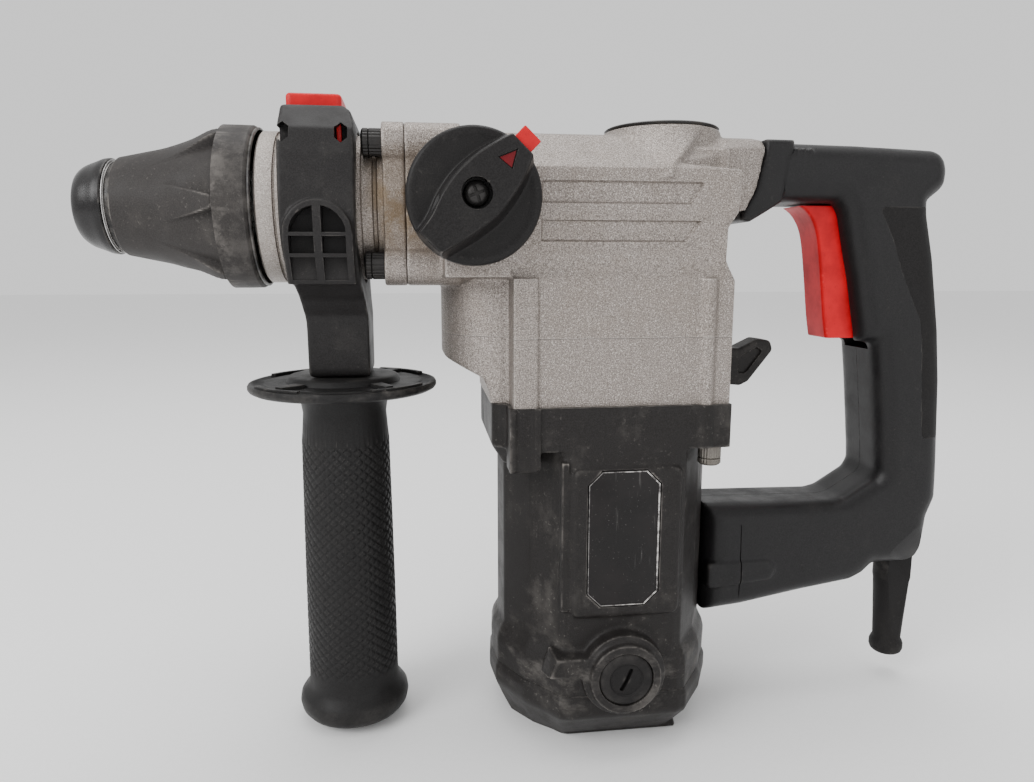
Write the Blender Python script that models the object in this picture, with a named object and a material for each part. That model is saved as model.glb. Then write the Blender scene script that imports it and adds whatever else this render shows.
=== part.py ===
"""Rotary hammer with an L-shaped body, built as separate solids.

All sizes below are in millimetres; each mesh is scaled to metres when it is made.
Frame: +Z up, the nose points to -X, the D-handle to +X, and the part is nearly symmetric about Y = 0.
The origin is the centre of the motor's flat base.
"""

import math

import bmesh
import bpy

MM = 0.001

# Main layout
SPINDLE_Z = 228.0
CRANK_X = 22.0
LAY_X = -22.0
GRIP_X = -114.1
KNOB_X = -60.3
KNOB_Z = 229.0
BRUSH_Z = 37.5
BOLT_Y = 23.5
BELLY_X = -41.0
CORD_X = 151.0
CRANK_OPENING_X = 26.0
SCREW_X = 38.0
SCREW_Y = 37.5

# Running gaps
GAP = 0.3
FIT = 0.1

# Chuck, front to back
NOSE_X = -214.3
SLEEVE_FRONT_X = -198.6
SLEEVE_REAR_X = -144.0
NECK_FRONT_X = -142.0
NECK_R = 30.4
COVER_X = -94.0
HOUSING_FRONT_X = -85.2

# Gear train
MODULE = 1.1
PINION_TEETH = 8
WHEEL_TEETH = 32
BEVEL_TEETH = 10
RING_TEETH = 30
RING_R = 25.0
BEVEL_R = RING_R * BEVEL_TEETH / RING_TEETH
GEAR_LOW = 162.0
GEAR_HIGH = 171.0

# Levels of the body
FLANGE_LOW = 131.0
FLANGE_HIGH = 148.9
CASE_LOW = 149.0
SPLIT_Z = 176.3
TAIL_Z = 18.0
MOTOR_HALF = 46.0
TAIL_HALF = 50.0
CASE_HALF_Y = 42.0
HANDLE_HALF_Y = 19.0


def clear_scene():
    """Remove every object that the default scene holds."""
    for item in list(bpy.data.objects):
        bpy.data.objects.remove(item, do_unlink=True)


def make_mesh(name, points, faces):
    """Make an object from points in millimetres."""
    mesh = bpy.data.meshes.new(name)
    mesh.from_pydata([tuple(p) for p in points], [], faces)
    obj = bpy.data.objects.new(name, mesh)
    bpy.context.scene.collection.objects.link(obj)
    tidy_mesh(obj)
    return obj


def tidy_mesh(obj):
    """Point all faces outwards."""
    work = bmesh.new()
    work.from_mesh(obj.data)
    bmesh.ops.recalc_face_normals(work, faces=work.faces[:])
    work.to_mesh(obj.data)
    work.free()


def clean_mesh(obj):
    """Merge the double corners that a boolean leaves, and split its faces into triangles."""
    work = bmesh.new()
    work.from_mesh(obj.data)
    bmesh.ops.remove_doubles(work, verts=work.verts[:], dist=0.002)
    bmesh.ops.dissolve_degenerate(work, edges=work.edges[:], dist=0.002)
    bmesh.ops.triangulate(work, faces=work.faces[:])
    work.to_mesh(obj.data)
    work.free()


def prism(name, outline, axis, low, high):
    """Extrude a closed outline along one axis.

    The outline is in XY for axis Z, in XZ for axis Y and in YZ for axis X.
    """
    def place(a, b, h):
        if axis == "Z":
            return (a, b, h)
        if axis == "Y":
            return (a, h, b)
        return (h, a, b)

    count = len(outline)
    points = [place(a, b, low) for a, b in outline]
    points += [place(a, b, high) for a, b in outline]
    faces = [tuple(range(count)), tuple(range(count, 2 * count))]
    for i in range(count):
        j = (i + 1) % count
        faces.append((i, j, count + j, count + i))
    return make_mesh(name, points, faces)


def box(name, low, high):
    """Make an axis-aligned box."""
    outline = [(low[0], low[1]), (high[0], low[1]), (high[0], high[1]), (low[0], high[1])]
    return prism(name, outline, "Z", low[2], high[2])


def lathe(name, profile, axis, centre, segments=32):
    """Revolve a profile of (distance along the axis, radius) pairs.

    A profile that starts and ends at radius 0 makes a solid; any other is closed into a tube.
    """
    def place(along, radius, angle):
        u = radius * math.cos(angle)
        v = radius * math.sin(angle)
        if axis == "X":
            return (along, centre[0] + u, centre[1] + v)
        if axis == "Y":
            return (centre[0] + u, along, centre[1] + v)
        return (centre[0] + u, centre[1] + v, along)

    points = []
    rings = []
    for along, radius in profile:
        if radius == 0.0:
            rings.append([len(points)] * segments)
            points.append(place(along, 0.0, 0.0))
        else:
            rings.append(list(range(len(points), len(points) + segments)))
            points += [place(along, radius, 2 * math.pi * k / segments) for k in range(segments)]
    pairs = list(zip(rings[:-1], rings[1:]))
    if profile[0][1] > 0.0:
        pairs.append((rings[-1], rings[0]))
    faces = []
    for first, second in pairs:
        for k in range(segments):
            n = (k + 1) % segments
            corners = []
            for index in (first[k], first[n], second[n], second[k]):
                if index not in corners:
                    corners.append(index)
            if len(corners) > 2:
                faces.append(tuple(corners))
    return make_mesh(name, points, faces)


def rod(name, axis, centre, radius, low, high, segments=20):
    """Make a plain cylinder."""
    return lathe(name, [(low, 0.0), (low, radius), (high, radius), (high, 0.0)], axis, centre, segments)


def tube(name, axis, centre, inner, outer, low, high, segments=28):
    """Make a plain tube."""
    return lathe(name, [(low, inner), (low, outer), (high, outer), (high, inner)], axis, centre, segments)


def boolean(target, tool, operation):
    """Apply one boolean to target and remove the tool."""
    modifier = target.modifiers.new("shape", "BOOLEAN")
    modifier.operation = operation
    modifier.solver = "EXACT"
    modifier.object = tool
    depsgraph = bpy.context.evaluated_depsgraph_get()
    result = bpy.data.meshes.new_from_object(target.evaluated_get(depsgraph))
    target.modifiers.clear()
    old = target.data
    target.data = result
    bpy.data.meshes.remove(old)
    bpy.data.objects.remove(tool, do_unlink=True)
    clean_mesh(target)


def cut(target, *tools):
    """Cut every tool out of target."""
    for tool in tools:
        boolean(target, tool, "DIFFERENCE")
    return target


def join(target, *tools):
    """Add every tool to target."""
    for tool in tools:
        boolean(target, tool, "UNION")
    return target


def common(target, tool):
    """Keep what target and tool share."""
    boolean(target, tool, "INTERSECT")
    return target


def involute(angle):
    """Return the involute function of a pressure angle."""
    return math.tan(angle) - angle


def gear_outline(teeth, centre, phase, addendum, backlash):
    """Return the outline of a spur gear in XY, with a tooth centred on the phase angle."""
    pressure = math.radians(20)
    pitch = MODULE * teeth / 2
    base = pitch * math.cos(pressure)
    tip = pitch + addendum * MODULE
    root = pitch - 1.2 * MODULE
    half = math.pi / (2 * teeth) - backlash / (2 * pitch)
    flank = []
    for share in (0.0, 0.45, 1.0):
        radius = base + (tip - base) * share
        local = math.acos(min(1.0, base / radius))
        flank.append((radius, half + involute(pressure) - involute(local)))
    flank[0] = (root, flank[0][1])
    points = []
    for tooth in range(teeth):
        middle = phase + 2 * math.pi * tooth / teeth
        for radius, offset in flank:
            points.append((radius, middle - offset))
        for radius, offset in reversed(flank):
            points.append((radius, middle + offset))
    return [(centre[0] + r * math.cos(a), centre[1] + r * math.sin(a)) for r, a in points]


def bevel_gear(name, teeth, pitch, distance, face, bore, back, place):
    """Make a straight bevel gear.

    pitch is the radius and distance the gap to the apex at the large end; face is the share of the
    cone that the teeth cover, and back the thickness behind them. place(along, radius, angle) turns
    the distance from the apex, the radius and the angle into a point.
    """
    slant = math.hypot(pitch, distance)
    out_along = -pitch / slant
    out_radius = distance / slant
    height = 0.8 * 2 * pitch / teeth
    depth = 1.1 * 2 * pitch / teeth
    step = 2 * math.pi / teeth
    points = []
    loops = []
    for tooth in range(teeth):
        shape = ((-0.30, -depth), (-0.13, height), (0.13, height), (0.30, -depth))
        for offset, rise in shape:
            angle = step * (tooth + offset * (0.86 if rise > 0 else 1.0))
            along = distance + out_along * rise
            radius = pitch + out_radius * rise
            loop = [
                (distance + back, bore),
                (distance + back, pitch - depth),
                (along, radius),
                (along * (1 - face), radius * (1 - face)),
                ((distance - out_along * depth) * (1 - face), bore),
            ]
            loops.append(range(len(points), len(points) + len(loop)))
            points += [place(a, r, angle) for a, r in loop]
    faces = []
    for first, second in zip(loops, loops[1:] + loops[:1]):
        for k in range(len(first)):
            n = (k + 1) % len(first)
            faces.append((first[k], second[k], second[n], first[n]))
    return make_mesh(name, points, faces)


def coil(name, axis_centre, mean_radius, wire, low, high, turns):
    """Make a coil spring along X round the spindle axis."""
    steps = 12 * turns
    sides = 4
    points = []
    for i in range(steps + 1):
        angle = 2 * math.pi * i / 12
        along = low + wire + (high - low - 2 * wire) * i / steps
        for k in range(sides):
            turn = 2 * math.pi * k / sides
            radius = mean_radius + wire * math.cos(turn)
            points.append((
                along + wire * math.sin(turn),
                axis_centre[0] + radius * math.cos(angle),
                axis_centre[1] + radius * math.sin(angle),
            ))
    faces = [tuple(range(sides)), tuple(range(steps * sides, (steps + 1) * sides))]
    for i in range(steps):
        for k in range(sides):
            n = (k + 1) % sides
            faces.append((i * sides + k, i * sides + n, (i + 1) * sides + n, (i + 1) * sides + k))
    return make_mesh(name, points, faces)


SPINDLE = (0.0, SPINDLE_Z)


def socket_screw(name, axis, centre, head_r, shank_r, head_end, head_base, shank_end):
    """Make a socket head screw; the head runs from head_end to head_base."""
    recess = head_end + (head_base - head_end) * 0.5
    profile = [
        (recess, 0.0), (recess, 0.5 * head_r), (head_end, 0.5 * head_r), (head_end, head_r),
        (head_base, head_r), (head_base, shank_r), (shank_end, shank_r), (shank_end, 0.0),
    ]
    return lathe(name, profile, axis, centre, 12)


# ---------------------------------------------------------------- chuck and spindle

def build_chuck():
    """Build the rubber nose cap, the locking sleeve and its spring."""
    lathe("nose_cap", [
        (NOSE_X, 8.0), (NOSE_X, 11.5), (-213.0, 14.2), (-210.2, 16.4), (-205.0, 18.3),
        (-199.2, 19.2), (-199.2, 12.8), (-210.9, 12.8), (-210.9, 8.0),
    ], "X", SPINDLE, 32)
    lathe("locking_sleeve", [
        (SLEEVE_FRONT_X, 12.9), (SLEEVE_FRONT_X, 19.2), (-188.0, 21.3), (-178.0, 23.4),
        (-169.0, 26.8), (-160.0, 31.6), (-157.0, 32.6), (SLEEVE_REAR_X - 1, 32.6),
        (SLEEVE_REAR_X, 31.8), (SLEEVE_REAR_X, 30.8), (-157.0, 30.8), (-161.0, 27.0),
        (-168.0, 17.0), (-194.0, 17.0), (-194.0, 12.9),
    ], "X", SPINDLE, 32)
    coil("sleeve_spring", SPINDLE, 14.0, 0.8, -166.5, -150.3, 4)


def build_spindle():
    """Build the spindle with its tool bore and hammer tube, and the parts that slide in it."""
    lathe("spindle", [
        (-210.4, 5.1), (-210.4, 11.9), (-209.9, 12.4), (-150.0, 12.4), (-150.0, 15.0),
        (-93.0, 15.0), (-90.0, 16.4), (0.0, 16.4), (0.0, 13.0), (-88.0, 13.0), (-92.0, 9.4),
        (-118.0, 9.4), (-118.0, 5.1),
    ], "X", SPINDLE, 32)
    lathe("impact_bolt", [
        (-113.0, 0.0), (-113.0, 6.0), (-112.0, 7.0), (-104.0, 7.0), (-102.0, 9.1), (-92.5, 9.1),
        (-91.0, 7.5), (-78.0, 7.5), (-78.0, 0.0),
    ], "X", SPINDLE, 24)
    lathe("striker", [
        (-74.2, 0.0), (-74.2, 8.0), (-72.0, 12.8), (-67.0, 12.8), (-67.0, 11.4), (-64.5, 11.4),
        (-64.5, 12.8), (-54.0, 12.8), (-54.0, 0.0),
    ], "X", SPINDLE, 28)


def build_piston():
    """Build the piston, its wrist pin and the connecting rod with the crank pin."""
    piston = lathe("piston", [
        (-46.0, 0.0), (-46.0, 12.8), (-43.0, 12.8), (-43.0, 11.4), (-40.5, 11.4), (-40.5, 12.8),
        (-12.0, 12.8), (-12.0, 0.0),
    ], "X", SPINDLE, 28)
    cut(
        piston,
        box("slot", (-27.0, -9.0, SPINDLE_Z - 4.3), (-10.0, 9.0, SPINDLE_Z + 4.3)),
        rod("pin_hole", "Z", (-20.0, 0.0), 3.1, 210.0, 250.0, 16),
    )
    rod("wrist_pin", "Z", (-20.0, 0.0), 3.0, SPINDLE_Z - 11.8, SPINDLE_Z + 11.8, 16)
    low = SPINDLE_Z - 4.0
    high = SPINDLE_Z + 4.0
    link = rod("connecting_rod", "Z", (-20.0, 0.0), 5.4, low, high, 20)
    join(
        link,
        box("web", (-18.0, -3.4, low), (11.0, 3.4, high)),
        rod("big_end", "Z", (13.0, 0.0), 7.5, low, high, 20),
        rod("crank_pin", "Z", (13.0, 0.0), 4.0, 215.4, high - 1.0, 16),
    )
    cut(link, rod("eye", "Z", (-20.0, 0.0), 3.1, 210.0, 250.0, 16))


def build_bearings():
    """Build the rolling bearings as plain rings."""
    tube("spindle_bearing", "X", SPINDLE, 15.2, 19.8, -112.0, -100.0)
    tube("cylinder_bearing", "X", SPINDLE, 16.6, 19.8, -58.0, -48.0)
    tube("armature_bearing_top", "Z", (0.0, 0.0), 4.1, 11.0, 149.4, 153.8, 24)
    tube("armature_bearing_low", "Z", (0.0, 0.0), 4.1, 11.0, 7.0, 14.0, 24)


# ---------------------------------------------------------------- gear case

def spindle_gearing():
    """Build the two shafts, the spur gears and the bevel pair."""
    lathe("crankshaft", [
        (154.4, 0.0), (154.4, 5.0), (207.0, 5.0), (207.0, 14.0), (215.0, 14.0), (215.0, 0.0),
    ], "Z", (CRANK_X, 0.0), 28)
    phase = math.pi / WHEEL_TEETH
    for name, x, bore in (("crank_gear", CRANK_X, 5.1), ("lay_gear", LAY_X, 4.1)):
        wheel = prism(name, gear_outline(WHEEL_TEETH, (x, 0.0), phase, 0.75, 0.3), "Z", GEAR_LOW, GEAR_HIGH)
        cut(wheel, rod("bore", "Z", (x, 0.0), bore, GEAR_LOW - 5, GEAR_HIGH + 5, 20))

    def on_layshaft(along, radius, angle):
        return (LAY_X + radius * math.cos(angle), radius * math.sin(angle), SPINDLE_Z - along)

    def on_spindle(along, radius, angle):
        return (LAY_X - along, radius * math.cos(angle), SPINDLE_Z + radius * math.sin(angle))

    pinion = bevel_gear("layshaft", BEVEL_TEETH, BEVEL_R, RING_R, 0.26, 3.0, 2.5, on_layshaft)
    join(pinion, rod("shaft", "Z", (LAY_X, 0.0), 4.0, 154.4, 207.5, 20))
    bevel_gear("bevel_ring", RING_TEETH, RING_R, BEVEL_R, 0.26, 16.6, 6.0, on_spindle)


def belly(name, radius, low, high):
    """Make an upright half-round form in front of the square case."""
    outline = [(-40.0, radius), (-40.0, -radius)]
    for step in range(1, 12):
        angle = math.pi * (1.5 - step / 12)
        outline.append((BELLY_X + radius * math.cos(angle), radius * math.sin(angle)))
    return prism(name, outline, "Z", low, high)


def add_side_ribs(casting, low, high):
    """Add the upright ribs on both flanks of a casting, between two heights."""
    for side in (-1, 1):
        inner, outer = sorted((side * (CASE_HALF_Y - 1), side * (CASE_HALF_Y + 1.4)))
        for rear, front in ((-45.0, -35.0), (36.5, 44.0)):
            join(casting, box("rib", (rear, inner, low), (front, outer, high)))


def casting_outer():
    """Make the outer form of the upper casting: flanks, deck and the narrower rear part."""
    side = [
        (-71.0, 200.0), (-71.0, 256.5), (63.8, 256.5), (63.4, 253.5), (59.4, 236.0), (54.3, 227.0),
        (44.5, 224.0), (44.5, 219.0), (40.5, 217.0), (40.5, 205.5), (43.0, 200.0),
    ]
    end = [(-40.0, 200.0), (-42.0, 226.0), (-42.0, 241.4), (-31.0, 249.2), (-20.0, 256.6)]
    end += [(-y, z) for y, z in reversed(end)]
    housing = prism("gear_housing", side, "Y", -45.0, 45.0)
    common(housing, prism("end_form", end, "X", -72.0, 66.0))
    for side in (-1, 1):
        above = [(18.5, 37.4), (46.0, 26.5), (68.0, 20.0), (68.0, 46.0), (18.5, 46.0)]
        behind = [(44.8, 26.9), (68.0, 20.1), (68.0, 46.0), (44.8, 46.0)]
        cut(
            housing,
            prism("above_ledge", [(x, side * y) for x, y in above], "Z", 242.5, 262.0),
            prism("behind_case", [(x, side * y) for x, y in behind], "Z", 215.0, 262.0),
        )
    return housing


def crank_boss():
    """Make the flared boss round the crank opening; its foot stops at the rear block."""
    boss = lathe("boss_foot", [
        (243.0, 0.0), (243.0, 38.4), (250.0, 35.0), (255.5, 31.0), (259.0, 27.0), (259.0, 0.0),
    ], "Z", (CRANK_OPENING_X, 0.0), 32)
    reach = [(-20.0, -45.0), (18.6, -37.2), (34.0, -20.0), (34.0, 20.0), (18.6, 37.2), (-20.0, 45.0)]
    common(boss, prism("reach", reach, "Z", 240.0, 262.0))
    return join(boss, lathe("boss_top", [
        (250.0, 0.0), (250.0, 30.0), (255.5, 29.0), (260.9, 25.4), (260.9, 0.0),
    ], "Z", (CRANK_OPENING_X, 0.0), 32))


def build_gear_housing():
    """Build the upper casting, open below and towards the nose."""
    housing = casting_outer()
    nose = [
        (-32.4, 204.4), (-24.0, 196.7), (24.0, 196.7), (32.4, 204.4), (32.4, 251.6), (24.0, 259.2),
        (-24.0, 259.2), (-32.4, 251.6),
    ]
    join(
        housing,
        prism("nose", nose, "X", HOUSING_FRONT_X, -66.0),
        box("case", (-45.0, -CASE_HALF_Y, SPLIT_Z), (44.0, CASE_HALF_Y, 203.0)),
        belly("belly", 30.4, SPLIT_Z, 203.0),
        crank_boss(),
    )
    add_side_ribs(housing, SPLIT_Z, 199.0)
    cavity = [
        (-37.5, 170.0), (-37.5, 226.0), (-28.0, 236.0), (-23.0, 244.5), (-14.0, 252.6), (-7.0, 254.4),
    ]
    cavity += [(-y, z) for y, z in reversed(cavity)]
    cut(
        housing,
        prism("cavity", cavity, "X", -41.3, 38.6),
        belly("belly_room", 26.4, 170.0, 199.0),
        rod("spindle_bore", "X", SPINDLE, 20.0, -100.0, -40.0, 36),
        rod("crank_opening", "Z", (CRANK_OPENING_X, 0.0), 20.2, 248.0, 270.0, 32),
        rod("knob_bore", "Y", (KNOB_X, KNOB_Z), 6.2, -50.0, -15.0, 20),
    )
    for y in (-BOLT_Y, BOLT_Y):
        for z in (-BOLT_Y, BOLT_Y):
            cut(housing, rod("bolt_hole", "X", (y, SPINDLE_Z + z), 3.3, -90.0, -69.0, 12))


def build_gear_base():
    """Build the lower casting, open above."""
    side = [(-72.0, SPLIT_Z - FIT), (-72.0, 173.0), (-69.0, 165.0), (-54.5, 157.5), (-52.5, CASE_LOW),
            (-40.0, CASE_LOW), (-40.0, SPLIT_Z - FIT)]
    base = box("gear_base", (-45.0, -CASE_HALF_Y, CASE_LOW), (44.0, CASE_HALF_Y, SPLIT_Z - FIT))
    front = belly("front", 30.4, CASE_LOW, SPLIT_Z - FIT)
    join(base, common(front, prism("slope", side, "Y", -32.0, 32.0)))
    add_side_ribs(base, CASE_LOW, SPLIT_Z - FIT)
    cut(
        base,
        box("room", (-41.3, -32.0, 154.0), (41.3, 32.0, 180.0)),
        belly("belly_room", 26.4, 168.0, 180.0),
        rod("bearing_seat", "Z", (0.0, 0.0), 11.2, 145.0, 160.0, 28),
        rod("lever_bore", "X", (0.0, 162.0), 4.3, 40.0, 50.0, 16),
    )
    for x in (-SCREW_X, SCREW_X):
        for y in (-SCREW_Y, SCREW_Y):
            cut(base, rod("screw_hole", "Z", (x, y), 2.8, 145.0, 166.0, 10))


def build_front_cover():
    """Build the casting that closes the housing in front and carries the neck."""
    block = [
        (-31.8, 205.4), (-23.6, 197.3), (23.6, 197.3), (31.8, 205.4), (31.8, 250.6), (23.6, 258.9),
        (-23.6, 258.9), (-31.8, 250.6),
    ]
    cover = prism("front_cover", block, "X", COVER_X, HOUSING_FRONT_X - FIT)
    join(cover, lathe("neck", [
        (NECK_FRONT_X, 0.0), (NECK_FRONT_X, 29.8), (NECK_FRONT_X + 1, NECK_R), (-104.6, NECK_R),
        (-103.8, 27.0), (-90.0, 27.0), (-90.0, 0.0),
    ], "X", SPINDLE, 32))
    cut(
        cover,
        rod("bore", "X", SPINDLE, 20.0, -136.0, -80.0, 36),
        rod("lip", "X", SPINDLE, 15.4, -150.0, -130.0, 36),
    )
    number = 0
    for y in (-BOLT_Y, BOLT_Y):
        for z in (-BOLT_Y, BOLT_Y):
            number += 1
            centre = (y, SPINDLE_Z + z)
            cut(cover, rod("bolt_hole", "X", centre, 3.3, -100.0, -80.0, 12))
            socket_screw("nose_bolt_%d" % number, "X", centre, 5.2, 3.0, -101.9, COVER_X - FIT, -70.0)


def build_case_parts():
    """Build the bridge that carries the shafts, the grease cap and the rear lever."""
    bridge = box("bearing_bridge", (-40.9, -37.0, 188.0), (38.3, 37.0, 196.0))
    cut(
        bridge,
        rod("crank_bore", "Z", (CRANK_X, 0.0), 5.1, 180.0, 200.0, 20),
        rod("lay_bore", "Z", (LAY_X, 0.0), 4.1, 180.0, 200.0, 20),
    )
    lathe("grease_cap", [
        (255.5, 0.0), (255.5, 20.0), (261.1, 20.0), (261.1, 24.4), (262.1, 24.4), (262.6, 23.6),
        (262.6, 0.0),
    ], "Z", (CRANK_OPENING_X, 0.0), 32)
    lever = rod("rear_lever", "X", (0.0, 162.0), 4.0, 42.0, 48.0, 16)
    wing = [
        (47.0, 155.0), (58.0, 151.0), (64.2, 150.6), (67.6, 152.0), (79.0, 166.8), (77.8, 170.5),
        (71.9, 171.5), (63.0, 168.0), (47.0, 169.0),
    ]
    join(lever, prism("wing", wing, "Y", -6.0, 6.0))


def build_knob():
    """Build the mode knob, its red pointer tip and its screw."""
    knob = lathe("mode_knob", [
        (-55.0, 0.0), (-55.0, 22.5), (-53.5, 24.7), (-44.5, 24.7), (-43.2, 23.5), (-43.2, 6.0),
        (-22.0, 6.0), (-22.0, 0.0),
    ], "Y", (KNOB_X, KNOB_Z), 32)
    turn = math.radians(46)
    along = (math.cos(turn), math.sin(turn))
    across = (-along[1], along[0])

    def spot(u, v):
        return (KNOB_X + u * along[0] + v * across[0], KNOB_Z + u * along[1] + v * across[1])

    bar = [spot(u, v) for u, v in (
        (-24.0, -5.5), (-14.0, -9.5), (0.0, -10.5), (14.0, -8.0), (24.0, -5.5),
        (24.0, 5.5), (14.0, 8.0), (0.0, 10.5), (-14.0, 9.5), (-24.0, 5.5),
    )]
    join(knob, prism("bar", bar, "Y", -66.0, -50.0))
    tip_slot = [spot(u, v) for u, v in ((17.5, -3.8), (30.0, -3.8), (30.0, 3.8), (17.5, 3.8))]
    cut(
        knob,
        rod("screw_well", "Y", (KNOB_X, KNOB_Z), 5.6, -70.0, -61.0, 20),
        prism("tip_slot", tip_slot, "Y", -64.0, -57.0),
    )
    tip = [spot(u, v) for u, v in ((18.0, -3.6), (28.0, -3.6), (28.0, 3.6), (18.0, 3.6))]
    prism("knob_tip", tip, "Y", -63.8, -57.2)
    lathe("knob_screw", [
        (-63.5, 0.0), (-64.5, 2.0), (-64.5, 4.0), (-63.5, 5.0), (-61.1, 5.0), (-61.1, 0.0),
    ], "Y", (KNOB_X, KNOB_Z), 20)


# ---------------------------------------------------------------- motor

def build_armature():
    """Build the armature with its pinion, core, commutator and fan."""
    shaft = lathe("armature_shaft", [
        (4.0, 0.0), (4.0, 4.0), (158.0, 4.0), (158.0, 3.0), (160.0, 3.0), (160.0, 0.0),
    ], "Z", (0.0, 0.0), 24)
    outline = gear_outline(PINION_TEETH, (0.0, 0.0), 0.0, 0.8, 0.3)
    join(shaft, prism("pinion", outline, "Z", 158.5, 177.0))
    slots = 12
    core = []
    for tooth in range(slots):
        for offset, radius in ((-0.42, 22.0), (0.42, 22.0), (0.42, 19.5), (0.58, 19.5)):
            angle = 2 * math.pi * (tooth + offset) / slots
            core.append((radius * math.cos(angle), radius * math.sin(angle)))
    body = prism("armature_core", core, "Z", 60.0, 108.0)
    cut(body, rod("bore", "Z", (0.0, 0.0), 4.1, 50.0, 120.0, 24))
    tube("commutator", "Z", (0.0, 0.0), 4.1, 12.0, 29.0, 46.0, 24)
    fan = tube("fan", "Z", (0.0, 0.0), 4.1, 34.0, 125.0, 127.0)
    join(fan, tube("hub", "Z", (0.0, 0.0), 4.1, 9.0, 120.0, 126.0))
    for blade in range(9):
        angle = 2 * math.pi * blade / 9
        along = (math.cos(angle), math.sin(angle))
        across = (-along[1], along[0])
        outline = [
            (u * along[0] + v * across[0], u * along[1] + v * across[1])
            for u, v in ((8.0, -0.8), (33.0, -0.8), (33.0, 0.8), (8.0, 0.8))
        ]
        join(fan, prism("blade", outline, "Z", 119.6, 126.0))


def octagon(half_x, half_y, corner):
    """Return an octagon with cut corners."""
    return [
        (-half_x, -half_y + corner), (-half_x + corner, -half_y), (half_x - corner, -half_y),
        (half_x, -half_y + corner), (half_x, half_y - corner), (half_x - corner, half_y),
        (-half_x + corner, half_y), (-half_x, half_y - corner),
    ]


def frustum(name, low_outline, high_outline, low, high):
    """Join two outlines with the same number of corners at two heights."""
    count = len(low_outline)
    points = [(x, y, low) for x, y in low_outline] + [(x, y, high) for x, y in high_outline]
    faces = [tuple(range(count)), tuple(range(count, 2 * count))]
    for i in range(count):
        j = (i + 1) % count
        faces.append((i, j, count + j, count + i))
    return make_mesh(name, points, faces)


def build_motor_housing():
    """Build the plastic motor body with its flange, its wide foot and the brush bosses."""
    body = octagon(MOTOR_HALF, MOTOR_HALF, 27.0)
    wide = octagon(TAIL_HALF, TAIL_HALF, 29.0)
    housing = prism("motor_housing", body, "Z", 40.0, 135.0)
    join(
        housing,
        prism("foot", wide, "Z", TAIL_Z + FIT, 40.0),
        frustum("shoulder", wide, body, 40.0, 45.0),
        box("flange", (-46.5, -44.0, FLANGE_LOW), (43.5, 44.0, FLANGE_HIGH)),
        box("front_step", (-52.3, -30.0, FLANGE_LOW), (-46.0, 30.0, FLANGE_HIGH)),
        lathe("boss", [
            (-55.0, 0.0), (-55.0, 14.8), (-52.0, 15.2), (-51.0, 17.5), (51.0, 17.5), (52.0, 15.2),
            (55.0, 14.8), (55.0, 0.0),
        ], "Y", (0.0, BRUSH_Z), 24),
    )
    for side in (-1, 1):
        inner, outer = sorted((side * 34.0, side * 43.8))
        join(housing, box("screw_boss", (-46.3, inner, 123.0), (-35.0, outer, 133.0)))
    cut(
        housing,
        rod("room", "Z", (0.0, 0.0), 40.5, 10.0, 160.0, 32),
        rod("brush_tunnel", "Y", (0.0, BRUSH_Z), 6.7, -60.0, 60.0, 16),
        rod("cap_seat_near", "Y", (0.0, BRUSH_Z), 11.5, -60.0, -46.5, 24),
        rod("cap_seat_far", "Y", (0.0, BRUSH_Z), 11.5, 46.5, 60.0, 24),
        box("label_seat", (-16.0, -50.0, 65.0), (16.4, -MOTOR_HALF + 0.6, 124.8)),
    )
    for x in (-SCREW_X, SCREW_X):
        for y in (-SCREW_Y, SCREW_Y):
            cut(
                housing,
                rod("screw_hole", "Z", (x, y), 2.8, 110.0, 160.0, 10),
                rod("head_room", "Z", (x, y), 5.0, 110.0, FLANGE_LOW - 0.1, 14),
            )


def build_motor_details():
    """Build the tail cap, the stator, the brushes, their caps, the label plate and the screws."""
    low = octagon(44.0, 31.0, 14.0)
    tail = frustum("tail_cap", low, octagon(TAIL_HALF, TAIL_HALF, 29.0), 0.0, TAIL_Z)
    cut(tail, rod("room", "Z", (0.0, 0.0), 27.0, 3.0, 30.0, 32))
    join(tail, tube("bearing_cup", "Z", (0.0, 0.0), 11.2, 14.0, 2.0, 16.0, 24))
    tube("stator", "Z", (0.0, 0.0), 24.0, 39.8, 58.0, 114.0, 36)
    for name, side in (("near", -1), ("far", 1)):
        ends = sorted((side * 12.6, side * 34.0))
        box("brush_" + name, (-4.0, ends[0], BRUSH_Z - 4.0), (4.0, ends[1], BRUSH_Z + 4.0))
        cap = lathe("brush_cap_" + name, [
            (side * 55.0, 0.0), (side * 55.0, 10.0), (side * 54.0, 11.2), (side * 46.8, 11.2),
            (side * 46.8, 6.2), (side * 40.0, 6.2), (side * 40.0, 0.0),
        ], "Y", (0.0, BRUSH_Z), 24)
        slot_ends = sorted((side * 53.2, side * 60.0))
        tilt = math.radians(65)
        along = (math.cos(tilt), math.sin(tilt))
        slot = [
            (u * along[0] - v * along[1], BRUSH_Z + u * along[1] + v * along[0])
            for u, v in ((-4.5, -0.8), (4.5, -0.8), (4.5, 0.8), (-4.5, 0.8))
        ]
        cut(cap, prism("slot", slot, "Y", slot_ends[0], slot_ends[1]))
    plate = [
        (-10.0, 65.4), (11.0, 65.4), (16.0, 70.4), (16.0, 119.4), (11.0, 124.4), (-10.0, 124.4),
        (-15.2, 119.4), (-15.2, 70.4),
    ]
    prism("label_plate", plate, "Y", -MOTOR_HALF - 0.6, -MOTOR_HALF + 0.5)
    number = 0
    for x in (-SCREW_X, SCREW_X):
        for y in (-SCREW_Y, SCREW_Y):
            number += 1
            head_end = 122.8 if x > 0 else 124.0
            socket_screw(
                "motor_screw_%d" % number, "Z", (x, y), 4.6, 2.5, head_end, FLANGE_LOW - 0.2, 165.0,
            )


# ---------------------------------------------------------------- handle

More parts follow.
